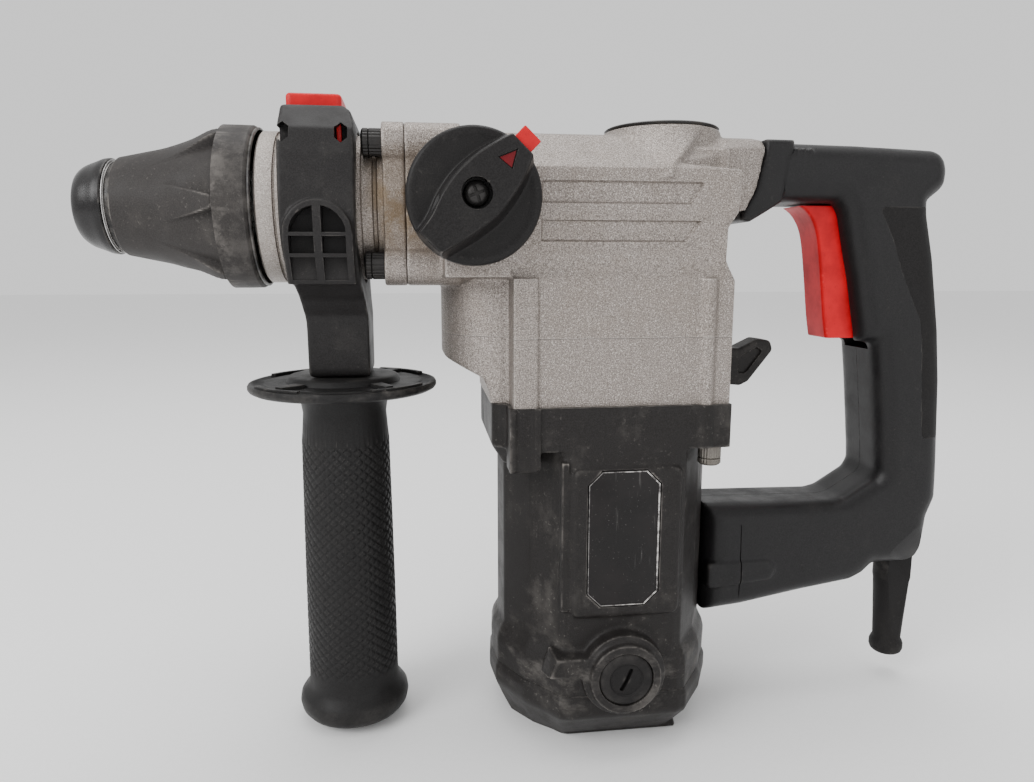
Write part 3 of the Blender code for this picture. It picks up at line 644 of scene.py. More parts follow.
def studio_ground(name, colour):
    """Plain pale paper with a very faint grain."""
    s = Surface(name)
    tone = s.ramp(s.noise(400.0, 2.0), 0.3, 0.7)
    s.set(Base_Color=s.mix(tone, colour, shade(colour, 0.985)), Roughness=0.9)
    return s.material


ALUMINIUM = cast_aluminium("cast_aluminium")
STAINED = cast_aluminium("cast_aluminium_stained", stained=True)
CHARCOAL = moulded_plastic("charcoal_sleeve", (0.026, 0.0235, 0.0225), 0.30, 1.0, 0.55)
MOTOR_BLACK = moulded_plastic("motor_black", (0.0115, 0.0102, 0.0098), 0.36, 0.8, 0.48, dusty_foot=True)
HANDLE_BLACK = moulded_plastic("handle_black", (0.0058, 0.0054, 0.0058), 0.06, 0.35, 0.40, gloss=0.24)
CLAMP_BLACK = moulded_plastic("clamp_black", (0.0135, 0.0125, 0.0125), 0.12, 0.5, 0.46)
KNOB_BLACK = moulded_plastic("knob_black", (0.0095, 0.0087, 0.0087), 0.10, 0.8, 0.42)
SOFT_BLACK = moulded_plastic("soft_rubber", (0.0075, 0.0068, 0.0068), 0.06, 0.2, 0.62, 0.5)
GRIP_BLACK = moulded_plastic("grip_rubber", (0.0095, 0.0090, 0.0090), 0.05, 0.3, 0.50, 0.4)
NOSE_BLACK = moulded_plastic("nose_rubber", (0.0050, 0.0044, 0.0046), 0.12, 0.5, 0.34, 0.3, gloss=0.3)
RED = red_plastic("red_plastic", (0.40, 0.002, 0.006), (0.60, 0.003, 0.010))
DEEP_RED = red_plastic("deep_red", (0.07, 0.001, 0.004), (0.13, 0.002, 0.006))
STEEL = metal("bright_steel", (0.62, 0.61, 0.60), 0.22)
TURNED_STEEL = metal("turned_steel", (0.55, 0.54, 0.53), 0.25, (6.0, 1.0, 1.0))
BLACK_OXIDE = metal("black_oxide", (0.035, 0.033, 0.032), 0.34, stain=0.5, metallic=0.7)
ZINC = metal("zinc_plate", (0.20, 0.185, 0.165), 0.38, stain=0.6, metallic=0.85)
ALLOY = metal("piston_alloy", (0.60, 0.59, 0.57), 0.34)
IRON = metal("laminated_iron", (0.16, 0.155, 0.15), 0.45, (0.3, 0.3, 8.0), 0.4)
COPPER = metal("copper", (0.78, 0.36, 0.20), 0.28, (0.5, 0.5, 3.0), 0.3)
CARBON = metal("carbon", (0.03, 0.03, 0.032), 0.6, stain=0.1, metallic=0.3)
LABEL = gloss_label("label_film")
LABEL_LINE = worn_line("label_border")


# ---------------------------------------------------------------- chuck

SLEEVE_FRONT = -197.6
FLUTE_START = -185.5
PARTING = -157.0
FLUTES = 6
FLUTE_FLOOR = (21.6, 28.3)


def sleeve_radius(along, radius, angle):
    """Sink the pointed flutes into the sleeve's cone."""
    if along < FLUTE_START or along > PARTING or radius < 21.0:
        return radius
    share = (along - FLUTE_START) / (PARTING - FLUTE_START)
    period = 2 * math.pi / FLUTES
    offset = abs((angle - math.pi / 2 + period / 2) % period - period / 2)
    width = math.radians(25.5) * share ** 0.62
    inside = 1 - smooth_step(offset, width - 0.035, width + 0.012)
    floor = FLUTE_FLOOR[0] + (FLUTE_FLOOR[1] - FLUTE_FLOOR[0]) * share
    scallop = 0.5 * math.cos(math.pi * offset / max(width, 0.05) / 2) if offset < width else 0.0
    return radius + (min(radius, floor + scallop) - radius) * inside


def build_chuck():
    """Nose cap, its steel ring and the fluted locking sleeve."""
    front = through([(NOSE_TIP + 0.4, 12.0), (NOSE_TIP + 1.4, 14.0), (NOSE_TIP + 4.0, 16.0),
                     (NOSE_TIP + 8.0, 17.6), (-203.5, 18.7), (-201.4, 19.0)], 6)
    cap = turned("nose_cap", [(NOSE_TIP, 8.6), (NOSE_TIP, 10.8)] + front + [
        (-201.0, 18.7), (-200.8, 18.0), (-200.8, 12.8), (NOSE_TIP + 4.0, 12.8), (NOSE_TIP + 4.0, 8.0),
        (NOSE_TIP + 0.8, 8.0),
    ], "X", SPINDLE)
    place(cap, "chuck", "soft_rubber", NOSE_BLACK, "nose_cap")
    ring = turned("nose_ring", [
        (-200.7, 13.2), (-200.7, 18.2), (-200.5, 18.5), (-200.2, 18.5), (-200.1, 17.6), (-199.9, 17.6),
        (-199.9, 13.2),
    ], "X", SPINDLE)
    place(ring, "chuck", "bright_steel", TURNED_STEEL)
    collar = turned("nose_collar", [
        (-199.8, 13.2), (-199.8, 17.4), (-199.0, 17.6), (-197.7, 17.6), (-197.7, 13.2),
    ], "X", SPINDLE)
    place(collar, "chuck", "soft_rubber", NOSE_BLACK)
    cone = through([(SLEEVE_FRONT + 0.4, 19.5), (-188.0, 21.4), (-179.0, 23.4), (-169.0, 26.9),
                    (-161.0, 31.0), (PARTING - 0.4, 32.3)], 14)
    band = [(PARTING, 32.2), (PARTING + 0.4, 32.6), (-150.0, 32.6), (-145.2, 32.5), (-144.5, 32.1),
            (-144.1, 31.5), (-144.0, 30.9), (-154.0, 30.8), (-155.2, 28.4), (-161.0, 25.0),
            (-168.0, 17.0), (-194.0, 17.0), (-194.0, 12.9), (SLEEVE_FRONT, 12.9), (SLEEVE_FRONT, 19.1)]
    sleeve = turned("locking_sleeve", cone + band, "X", SPINDLE, 288, sleeve_radius)
    place(sleeve, "sleeve", "dark_plastic", CHARCOAL, "locking_sleeve", sharp=28)
    rim = turned("sleeve_rim", [
        (-143.9, 30.8), (-143.9, 31.6), (-143.2, 31.8), (-142.9, 31.4), (-142.9, 30.8),
    ], "X", SPINDLE)
    place(rim, "sleeve", "dark_plastic", NOSE_BLACK)


# ---------------------------------------------------------------- castings

def nose_outline(grow=0.0):
    """Outline of the bolted nose block: four round corner bosses and straight top and bottom."""
    outline = []
    for y, z, start in ((BOLT_Y, BOLT_Y, -60), (-BOLT_Y, BOLT_Y, 90), (-BOLT_Y, -BOLT_Y, 120),
                        (BOLT_Y, -BOLT_Y, 270)):
        outline += arc((y, SPINDLE_Z + z), 7.8 + grow, start, start + 150, 10)
    return outline


def nose_solid(name, low, high):
    """Nose block between two places along the spindle, with its recessed waist."""
    waist = rod("waist", "X", SPINDLE, 29.6, low, high, 96)
    return join(prism(name, nose_outline(), "X", low, high), waist)


def bolt_spots():
    """Centres of the four nose bolts."""
    return [(y, SPINDLE_Z + z) for y in (-BOLT_Y, BOLT_Y) for z in (-BOLT_Y, BOLT_Y)]


def bolt_holes(low, high):
    """Tools for the four bolt holes."""
    return [rod("hole", "X", spot, 3.3, low, high, 24) for spot in bolt_spots()]


def build_front_cover():
    """Cast cover with the neck, its fine grooves, the stepped rings and the bolted flange."""
    cover = nose_solid("front_cover", -94.0, COVER_BACK)
    neck = turned("neck", [
        (-142.0, 0.0), (-142.0, 29.6), (-141.2, 30.4), (-135.2, 30.4), (-134.9, 29.8), (-134.3, 29.8),
        (-134.0, 30.4), (-105.2, 30.4), (-104.6, 29.2), (-102.6, 29.2), (-102.0, 28.0), (-98.2, 28.0),
        (-97.7, 27.0), (-96.6, 27.0), (-96.0, 28.4), (-92.0, 29.4), (-90.0, 29.4), (-90.0, 0.0),
    ], "X", SPINDLE, 144)
    skin(cover, 0.55, 3)
    join(cover, neck)
    cut(cover, rod("bore", "X", SPINDLE, 20.0, -136.0, -80.0),
        rod("lip", "X", SPINDLE, 15.4, -150.0, -130.0), *bolt_holes(-100.0, -80.0))
    place(cover, "body", "cast_aluminium", STAINED, "front_cover", sharp=40)


def in_mark(x, z):
    """Tell whether a place on the flank is in one of the two long shallow marks."""
    for low, high, rear in ((228.6, 236.3, 25.0), (214.2, 221.4, 23.8)):
        if low < z < high and -34.0 < x < rear + 5.0 * (z - low) / (high - low):
            return True
    return False


def rear_section(x, side_y, side_z, deck_y):
    """One section of the rear block: straight side, slanted shoulder and deck."""
    half = [(-side_y, 215.0), (-side_y, side_z), (-deck_y, 256.6), (-0.4 * deck_y, 259.0)]
    return [(x, y, z) for y, z in both_sides(half)]


def rear_block():
    """The narrower rear part of the upper casting, which meets the handle."""
    block = loft("rear_block", [
        rear_section(14.0, 38.5, 242.5, 22.0), rear_section(18.5, 37.4, 244.2, 24.0),
        rear_section(37.5, 30.5, 247.8, 19.5), rear_section(46.0, 26.5, 251.6, 18.0),
        rear_section(70.0, 20.0, 252.6, 16.0),
    ])
    handle_line = [(10.0, 262.0), (64.4, 262.0), (63.6, 253.5), (59.6, 236.0), (54.7, 227.2),
                   (44.0, 226.0), (10.0, 226.0)]
    return common(block, prism("handle_line", handle_line, "Y", -50.0, 50.0))


def boss_form():
    """Flared boss round the crank opening; its lower front half runs into the flank."""
    flare = through([(238.0, 45.0), (243.0, 41.6), (247.0, 37.0), (250.0, 33.6), (253.5, 30.4),
                     (257.0, 27.6), (260.6, 25.2)], 5)
    low = turned("boss_low", [(238.0, 0.0)] + flare + [(260.6, 0.0)], "Z", (LID_X, 0.0), 128)
    face = both_flanks([(-30.0, -60.0), (10.0, -60.0), (17.3, -41.8), (38.0, -20.0)])
    common(low, prism("front_half", face, "Z", 230.0, 270.0))
    crown = turned("boss_crown", [(250.0, 0.0), (250.0, 27.6), (255.5, 26.2), (258.6, 25.4), (260.4, 25.0),
                                  (261.2, 24.8), (261.2, 0.0)], "Z", (LID_X, 0.0), 128)
    return merge(low, crown)


def upper_outer():
    """Outer form of the upper casting."""
    side = [(-71.0, 200.0), (-71.0, 262.0), (-66.0, 259.7), (45.0, 259.7), (44.6, 225.5), (40.6, 219.0),
            (40.6, 206.0), (43.0, 200.0)]
    end = both_sides([(-40.4, 198.0), (-42.0, 226.0), (-42.0, 241.4), (-31.0, 249.2), (-20.0, 256.6),
                      (-10.0, 258.6)])
    notch = [(18.5, 244.2), (18.5, 262.0), (48.0, 262.0), (48.0, 241.0)]
    housing = prism("gear_housing", side, "Y", -45.0, 45.0)
    common(housing, prism("end_form", end, "X", -75.0, 66.0))
    for face in FACING:
        cut(housing, prism("notch", notch, "Y", *flank(29.0, 50.0, face)))
    cut(housing, box("deck_step", (18.5, -30.0, 252.0), (48.0, 30.0, 262.0)))
    return merge(housing, rear_block(), boss_form())


def case_ribs(low, high):
    """Upright ribs on both flanks of the square part of the casting."""
    ribs = []
    for side in FACING:
        inner, outer = flank(FLANK_Y, 43.4, side)
        ribs.append(box("rib_front", (-45.2, inner, low), (-35.4, outer, high)))
        ribs.append(rod("rib_rear", "Z", (33.8, side * 41.2), 3.2, low, high))
    return ribs


def belly_outline(radius=30.5):
    """Plan of the round front part of the gear case."""
    return [(-38.0, -radius)] + arc((-41.0, 0.0), radius, 270, 90, 24) + [(-38.0, radius)]


def belly_room(low, high):
    """Tool for the room inside the belly."""
    return prism("belly_room", belly_outline(26.5), "Z", low, high)


def build_gear_housing():
    """Upper casting: nose block, side panels with marks, boss, square case and belly."""
    housing = upper_outer()
    nose = nose_solid("nose", -85.3, -64.0)
    rim = nose_outline(-0.6)
    shoulder = loft("shoulder", [
        [(-66.0, y, z) for y, z in rim],
        [(-52.0, y * 0.96, SPINDLE_Z + (z - SPINDLE_Z) * 0.88) for y, z in rim],
    ])
    case = loft("case", [
        at_level(rect(-45.0, -CASE_Y, CASE_BACK, CASE_Y), SPLIT_Z - 2.0),
        at_level(rect(-45.0, -CASE_Y, CASE_BACK, CASE_Y), 199.0),
        at_level(rect(-45.0, -39.6, 41.0, 39.6), 206.0),
    ])
    belly = prism("belly", belly_outline(), "Z", SPLIT_Z - 2.0, 206.0)
    merge(housing, nose, shoulder, case, belly, *case_ribs(SPLIT_Z - 2.0, 199.6),
          rod("knob_pad", "Y", KNOB, 21.0, -42.4, -20.0, 96))
    skin(housing, CAST_VOXEL, 3)
    sink(housing, in_mark, 1.1)
    cavity = both_sides([(-36.5, 170.0), (-36.5, 236.0), (-24.0, 247.0), (-14.0, 254.8)])
    cut(housing, prism("cavity", cavity, "X", -41.3, 38.6), belly_room(165.0, 199.0),
        rod("spindle_bore", "X", SPINDLE, 20.0, -100.0, -40.0),
        rod("crank_opening", "Z", (BOSS_X, 0.0), 20.2, 248.0, 270.0))
    for hole in bolt_holes(-90.0, -69.0):
        cut(housing, hole)
    cut(housing, rod("knob_bore", "Y", KNOB, 6.2, -50.0, -15.0))
    common(housing, box("level", (-90.0, -60.0, SPLIT_Z), (80.0, 60.0, 280.0)))
    place(housing, "body", "cast_aluminium", STAINED, "gear_housing", sharp=32)


def build_gear_base():
    """Lower casting with the belly's rounded foot."""
    base = box("gear_base", (-45.0, -CASE_Y, CASE_LOW - 1.0), (CASE_BACK, CASE_Y, SPLIT_Z + 2.0))
    foot_side = [(-75.0, 180.0), (-75.0, 173.5), (-70.0, 166.0), (-55.5, 159.0), (-53.0, 153.0),
                 (-52.0, 140.0), (-30.0, 140.0), (-30.0, 180.0)]
    belly = prism("belly", belly_outline(), "Z", CASE_LOW - 1.0, SPLIT_Z + 2.0)
    common(belly, prism("foot", foot_side, "Y", -40.0, 40.0))
    merge(base, belly, *case_ribs(CASE_LOW - 1.0, SPLIT_Z + 2.0))
    skin(base, CAST_VOXEL, 3)
    common(base, box("levels", (-90.0, -60.0, CASE_LOW), (80.0, 60.0, SPLIT_Z - GAP)))
    cut(base, box("room", (-41.3, -32.0, 154.0), (41.3, 32.0, 180.0)), belly_room(167.0, 182.0),
        rod("bearing_seat", "Z", (0.0, 0.0), 11.2, 145.0, 160.0),
        rod("lever_bore", "X", LEVER, 4.3, 40.0, 50.0))
    for spot in MOTOR_SCREWS:
        cut(base, rod("hole", "Z", spot, 2.8, 145.0, 166.0, 20))
    place(base, "body", "cast_aluminium", ALUMINIUM, "gear_base", sharp=32)


def build_grease_cap():
    """Turned lid on the boss, with a spigot under it and two key holes."""
    lid = turned("grease_cap", [
        (253.0, 0.0), (253.0, 20.0), (261.3, 20.0), (261.3, 24.2), (262.1, 24.6), (262.6, 24.0),
        (262.6, 21.5), (261.8, 20.5), (261.8, 0.0),
    ], "Z", (LID_X, 0.0), 128)
    for x in (-12.0, 12.0):
        cut(lid, rod("key", "Z", (LID_X + x, 0.0), 2.0, 258.0, 270.0, 24))
    place(lid, "body", "piston_alloy", BLACK_OXIDE, "grease_cap")


def ribbed(along, radius, angle):
    """Knurl the rim of a screw head."""
    return radius * (1 + 0.025 * math.cos(24 * angle)) if radius > 4.3 else radius


def socket_screw(name, axis, centre, head_r, shank_r, levels, surface, slot):
    """Socket head screw with a knurled head, a rounded crown and a hexagon recess.

    levels are the places of the head's end, the head's base and the shank's end.
    """
    head_end, head_base, shank_end = levels
    out = 1.0 if head_base > head_end else -1.0
    length = abs(head_base - head_end)
    screw = turned(name, [
        (head_end, 0.0), (head_end, 0.78 * head_r), (head_end + out * 0.3, 0.9 * head_r),
        (head_end + out * 0.9, head_r), (head_end + out * 0.35 * length, head_r),
        (head_end + out * 0.38 * length, 0.93 * head_r), (head_end + out * 0.42 * length, head_r),
        (head_base, head_r), (head_base, shank_r), (shank_end, shank_r), (shank_end, 0.0),
    ], axis, centre, 96, ribbed)
    hexagon = arc(centre, 0.52 * head_r, 0, 300, 5)
    low, high = sorted((head_end - out * 2.0, head_end + out * 0.55 * length))
    cut(screw, prism("socket", hexagon, axis, low, high))
    return place(screw, "body", slot, surface, name)


def build_screws():
    """Bolts of the front cover and screws under the motor flange."""
    for number, spot in enumerate(bolt_spots(), 1):
        socket_screw("nose_bolt_%d" % number, "X", spot, 5.2, 3.0, (-101.9, -94.2, -70.0),
                     BLACK_OXIDE, "black_screw")
    for number in (1, 2, 3, 4):
        name = "motor_screw_%d" % number
        low, high = low_high(name)
        centre = (middle(name).x, middle(name).y)
        socket_screw(name, "Z", centre, 4.6, 2.5, (low.z, 130.8, high.z), ZINC, "zinc_screw")


# ---------------------------------------------------------------- knob and lever

def knob_points(*pairs):
    """Turn pairs of (along the pointer, across it) into X and Z."""
    return spun(pairs, 46, KNOB)


def knob_level(pairs, y):
    """Place knob points at a depth."""
    return at_depth(knob_points(*pairs), y)


def knob_bar():
    """The lens-shaped pointer bar with its slanted sides."""
    upper = through([(-24.3, 5.6), (-17.0, 6.6), (-9.0, 9.2), (0.0, 10.6), (9.0, 10.0), (17.0, 8.0),
                     (23.6, 5.4)], 6)
    lower = through([(23.6, -5.4), (17.0, -8.3), (9.0, -10.3), (0.0, -11.2), (-9.0, -10.0),
                     (-17.0, -8.0), (-24.3, -5.8)], 6)
    outline = upper + lower
    top = [(u * 0.975, v * 0.93) for u, v in outline]
    base = [(u, v * 1.02 + (-1.4 if v < 0 else 0.5)) for u, v in outline]
    crown = [(u * 0.985, v * 0.93) for u, v in top]
    bar = loft("bar", [knob_level(base, -52.0), knob_level(base, -55.0), knob_level(top, -65.2),
                       knob_level(crown, -66.0)])
    return common(bar, rod("reach", "Y", KNOB, 24.9, -70.0, -50.0, 160))


def build_knob():
    """Mode knob: a round disc, the pointer bar, its window, red tip and screw."""
    disc = turned("mode_knob", [
        (-54.6, 0.0), (-54.6, 20.0), (-54.9, 22.2), (-54.6, 23.6), (-53.9, 24.4), (-52.9, 24.7),
        (-45.0, 24.7), (-43.6, 24.2), (-43.2, 23.0), (-43.2, 6.0), (-22.0, 6.0), (-22.0, 0.0),
    ], "Y", KNOB, 160)
    join(disc, knob_bar())
    step = knob_points((-30.0, 5.0), (-17.5, 6.2), (-10.0, 7.9), (-7.0, 10.0), (-5.5, 14.0), (-30.0, 14.0))
    cut(disc, prism("step", step, "Y", -70.0, -57.0))
    skin(disc, 0.42, 2)
    cut(disc, rod("screw_well", "Y", KNOB, 5.5, -70.0, -61.0))
    window = knob_points((20.6, 0.2), (13.6, 3.3), (14.2, -3.3))
    cut(disc, prism("window", window, "Y", -70.0, -64.9))
    cut(disc, prism("tip_slot", knob_points(*rect(19.0, -4.1, 30.0, 4.1)), "Y", -64.0, -57.0))
    place(disc, "knob", "dark_plastic", KNOB_BLACK, "mode_knob", sharp=38)
    pane = prism("knob_window", knob_points((19.8, 0.15), (14.0, 2.75), (14.5, -2.7)), "Y", -65.4, -64.95)
    place(bevel(pane, 0.1), "knob", "red_plastic", DEEP_RED)
    tip = prism("knob_tip", knob_points(*rect(19.5, -3.9, 28.4, 3.9)), "Y", -63.8, -57.2)
    place(bevel(tip, 0.5), "knob", "red_plastic", RED, "knob_tip")
    screw = turned("knob_screw", [
        (-64.6, 0.0), (-64.6, 1.2), (-64.3, 2.6), (-63.6, 3.9), (-62.4, 4.6), (-61.1, 4.6), (-61.1, 0.0),
    ], "Y", KNOB, 64)
    for turn in (20, 110):
        cut(screw, prism("cross", spun(rect(-2.6, -0.55, 2.6, 0.55), turn, KNOB), "Y", -66.0, -63.2))
    place(screw, "knob", "black_screw", BLACK_OXIDE, "knob_screw")


def build_lever():
    """Small rear lever with a raised rim round its wing."""
    wing = rounded([
        (46.5, 155.6), (58.0, 151.0), (64.2, 150.4), (68.0, 152.2), (79.2, 166.6), (77.8, 171.0),
        (71.9, 171.8), (63.0, 167.6), (46.5, 168.6),
    ], 2.5)
    lever = pillow("rear_lever", wing, 6.0, 1.4, 3)
    hollow = rounded([(62.5, 156.0), (66.5, 156.5), (74.0, 166.2), (71.2, 168.0), (63.8, 164.0)], 1.5)
    for side in FACING:
        cut(lever, prism("hollow", hollow, "Y", *flank(4.6, 8.0, side)))
    join(lever, rod("hub", "X", LEVER, 4.0, 42.0, 48.0))
    skin(lever, 0.4, 2)
    place(lever, "lever", "dark_plastic", MOTOR_BLACK, "rear_lever")


# ---------------------------------------------------------------- motor

def motor_plan():
    """Plan of the motor body, with its flat sides and its facetted corners."""
    near = [(-45.8, -13.0), (-36.4, -29.5), (-28.4, -38.2), (-24.4, -43.6), (-21.0, -MOTOR_Y),
            (22.6, -MOTOR_Y), (26.0, -43.4), (30.2, -37.6), (37.0, -28.6), (45.2, -12.5)]
    far = [(x, -y) for x, y in reversed(near)]
    return [(-MOTOR_X, 0.0)] + near + [(MOTOR_X, 0.0)] + far


def plan_loft(name, *rows):
    """Loft the motor's plan through rows of (half width, half depth, level)."""
    return loft(name, [
        [(x * wide / MOTOR_X, y * deep / MOTOR_Y, z) for x, y in motor_plan()]
        for wide, deep, z in rows
    ])


def flange_parts():
    """Square flange with its step over the belly and the taper under that step."""
    flange = prism("flange", rounded(rect(-46.5, -44.0, 44.6, 44.0), 1.5), "Z", 131.0, FLANGE_TOP)
    front = both_flanks([(-52.3, -28.0), (-50.0, -32.0), (-40.0, -36.0)])
    step = prism("step", front, "Z", 131.0, FLANGE_TOP)
    taper = loft("taper", [
        at_level(both_flanks([(-46.8, -22.0), (-40.0, -30.0)]), 122.0),
        at_level(both_flanks([(-52.3, -28.0), (-40.0, -36.0)]), 131.2),
    ])
    return [flange, step, taper]


def flank_parts(side):
    """Panel, screw boss, ribs, block and strip on one flank of the motor."""
    panel = rounded(rect(-21.6, 61.4, 23.8, 124.7), 4.0)
    parts = [bevel(prism("panel", panel, "Y", *flank(FLANK_Y, 47.2, side)), 1.6, 2, 60)]
    for name, left, right, near, far, low, top in (
        ("screw_boss", -46.6, -35.0, 32.0, 44.2, 123.0, 133.0),
        ("flange_rib", -46.8, -44.4, FLANK_Y, 45.3, 124.0, FLANGE_TOP),
        ("flange_rib", -36.8, -34.4, FLANK_Y, 45.3, 124.0, FLANGE_TOP),
        ("strip", -26.0, -22.9, 38.0, 45.8, 64.0, 127.0),
    ):
        inner, outer = flank(near, far, side)
        parts.append(box(name, (left, inner, low), (right, outer, top)))
    round_rib = arc((33.4, side * 41.4), 4.2, 0, 342, 19)
    parts.append(prism("flange_round", round_rib, "Z", 131.0, FLANGE_TOP))
    parts.append(loft("block", [
        at_depth(((-33.6, 35.5), (-12.0, 35.5), (-12.0, 47.0), (-30.0, 47.0)), side * FLANK_Y),
        at_depth(((-30.8, 37.2), (-14.0, 37.2), (-14.0, 45.0), (-28.0, 45.0)), side * 50.2),
    ]))
    return parts


def build_motor_housing():
    """Plastic motor body: flange, corner bosses, raised panel, brush bosses and wide foot."""
    body = prism("motor_housing", motor_plan(), "Z", 34.0, 137.0)
    foot = plan_loft("foot", (50.0, 47.2, SEAM_Z - 3.0), (50.4, 47.8, 38.0), (49.6, 46.8, 41.5),
                     (47.4, 44.8, 45.5))
    boss = turned("boss", [
        (-54.8, 0.0), (-54.8, 14.8), (-52.0, 15.2), (-51.0, 17.5), (51.0, 17.5), (52.0, 15.2),
        (54.8, 14.8), (54.8, 0.0),
    ], "Y", BRUSH, 128)
    merge(body, foot, *flange_parts(), boss, *flank_parts(-1), *flank_parts(1))
    skin(body, MOULD_VOXEL, 3)
    keep = box("levels", (-90.0, -80.0, SEAM_Z + 0.2), (90.0, 80.0, FLANGE_HIGH))
    common(body, join(keep, rod("boss_room", "Y", BRUSH, 17.6, -60.0, 60.0, 96)))
    cut(body, rod("room", "Z", (0.0, 0.0), 40.3, 10.0, 160.0, 96))
    cut(body, rod("tunnel", "Y", BRUSH, 6.7, -60.0, 60.0))
    for side in FACING:
        cut(body, rod("cap_seat", "Y", BRUSH, 11.5, *flank(46.5, 60.0, side), 64))
    seat = chamfered(-15.7, 66.0, 14.8, 123.9, 6.0)
    cut(body, prism("label_seat", seat, "Y", -50.0, -45.9))
    profile = [(110.0, 0.0), (110.0, 5.0), (130.9, 5.0), (130.9, 2.8), (160.0, 2.8), (160.0, 0.0)]
    for spot in MOTOR_SCREWS:
        cut(body, turned("screw_room", profile, "Z", spot, 32))
    place(body, "body", "dark_plastic", MOTOR_BLACK, "motor_housing", sharp=36)


def chamfered(left, low, right, high, size):
    """Return a rectangle with its corners cut."""
    return [
        (left + size, low), (right - size, low), (right, low + size), (right, high - size),
        (right - size, high), (left + size, high), (left, high - size), (left, low + size),
    ]


def heel(side):
    """Flat facet at the foot of the tail cap, on one flank."""
    return loft("heel", [
        at_depth(((-22.0, 0.4), (30.0, 0.4), (22.0, 22.0), (-18.0, 22.0)), side * 30.0),
        at_depth(((-21.0, 0.4), (29.0, 0.4), (22.0, 22.0), (-18.0, 22.0)), side * 33.0),
    ])


def build_tail():
    """Tail cap that closes the motor: a stepped rim and a facetted foot."""
    tail = plan_loft("tail_cap", (42.8, 31.0, -1.0), (43.6, 32.0, 0.6), (46.6, 38.5, 7.0),
                     (50.8, 47.6, 17.0), (51.2, 48.4, 19.0), (51.2, 48.6, 24.6),
                     (50.0, 47.2, SEAM_Z + 0.4), (49.0, 46.2, SEAM_Z + 2.0))
    merge(tail, heel(-1), heel(1))
    skin(tail, MOULD_VOXEL, 3)
    common(tail, box("levels", (-90.0, -80.0, 0.0), (90.0, 80.0, SEAM_Z)))
    cut(tail, rod("room", "Z", (0.0, 0.0), 27.0, 3.0, 40.0),
        rod("boss_room", "Y", BRUSH, 17.75, -60.0, 60.0, 96))
    cup = [(2.0, 11.2), (2.0, 14.0), (16.0, 14.0), (16.0, 11.2)]
    join(tail, turned("cup", cup, "Z", (0.0, 0.0), 48))
    place(tail, "body", "dark_plastic", MOTOR_BLACK, "tail_cap", sharp=36)


def build_label():
    """Label plate with its worn border."""
    label = prism("label_plate", chamfered(-15.2, 66.4, 14.3, 123.4, 5.6), "Y", -46.9, -45.3)
    place(bevel(label, 0.2, 2, 60), "body", "label", LABEL, "label_plate")
    border = prism("label_border", chamfered(-15.1, 66.5, 14.2, 123.3, 5.5), "Y", -47.1, -46.85)
    cut(border, prism("inside", chamfered(-14.8, 66.9, 13.6, 122.9, 5.3), "Y", -48.0, -46.0))
    place(border, "body", "label", LABEL_LINE)


def build_brush_caps():
    """Screwed caps of the brushes, with a raised ring and a slanted slot."""
    profile = [(55.0, 0.0), (54.6, 3.0), (54.4, 6.6), (55.0, 7.2), (55.0, 9.6), (54.6, 10.6),
               (53.8, 11.2), (46.8, 11.2), (46.8, 6.2), (40.0, 6.2), (40.0, 0.0)]
    slot = spun(rounded(rect(-5.2, -0.9, 5.2, 0.9), 0.8), 65, BRUSH)
    for name, side in (("near", -1.0), ("far", 1.0)):
        cap = turned("brush_cap_" + name, [(side * a, r) for a, r in profile], "Y", BRUSH, 96)
        cut(cap, prism("slot", slot, "Y", *flank(52.6, 60.0, side)))
        place(cap, "body", "dark_plastic", SOFT_BLACK, "brush_cap_" + name)


# ---------------------------------------------------------------- handle

def handle_outline():
    """Side view of the D-handle, with the lip above which the trigger comes out."""
    return [
        (46.5, 45.4), (65.3, 47.4), (94.7, 52.7), (119.6, 56.5), (125.8, 59.6), (130.5, 64.2),
        (148.4, 64.6), (153.2, 66.2), (155.4, 70.8), (157.0, 87.6), (160.4, 96.5), (160.0, 108.0),
        (158.7, 129.1), (157.1, 152.7), (154.4, 175.8), (148.8, 208.2), (144.3, 227.0),
        (143.8, 232.8), (149.6, 237.4), (151.4, 240.0), (151.8, 246.0), (150.5, 250.6),
        (147.9, 253.7), (144.8, 254.9), (111.0, 256.1), (66.0, 256.8), (66.0, 231.4),
        (100.8, 231.6), (103.6, 226.8), (107.1, 211.6), (110.5, 198.3), (115.4, 174.0),
        (115.8, 170.9), (122.8, 170.0), (125.0, 153.8), (127.3, 133.6), (129.0, 118.0),
        (129.6, 110.0), (127.6, 106.2), (113.7, 97.5), (108.0, 96.1), (46.5, 97.0),
    ]


def rim_distance(places, outline):
    """Distance of each place from the nearest side of an outline."""
    nearest = np.full(len(places), 1e9)
    for first, second in zip(outline, outline[1:] + outline[:1]):
        start = np.array(first)
        side = np.array(second) - start
        share = np.clip(((places - start) @ side) / (side @ side), 0.0, 1.0)
        gap = np.linalg.norm(places - start - share[:, None] * side, axis=1)
        nearest = np.minimum(nearest, gap)
    return nearest


def cushion(name, outline, half, rim, voxel=0.8):
    """Extrude an XZ outline to both sides of Y = 0, with a wide round rim along any corner."""
    solid = skin(prism(name, outline, "Y", -half, half), voxel, 0)
    points = np.empty(3 * len(solid.data.vertices))
    solid.data.vertices.foreach_get("co", points)
    points = points.reshape(-1, 3)
    inset = rim - np.minimum(rim_distance(points[:, (0, 2)], outline), rim)
    limit = half - rim + np.sqrt(rim * rim - inset * inset)
    points[:, 1] = np.clip(points[:, 1], -limit, limit)
    solid.data.vertices.foreach_set("co", points.ravel())
    return skin(solid, voxel, 3)


def handle_form():
    """Closed form of the D-handle, smooth all over."""
    return cushion("handle", handle_outline(), 19.0, 9.0)


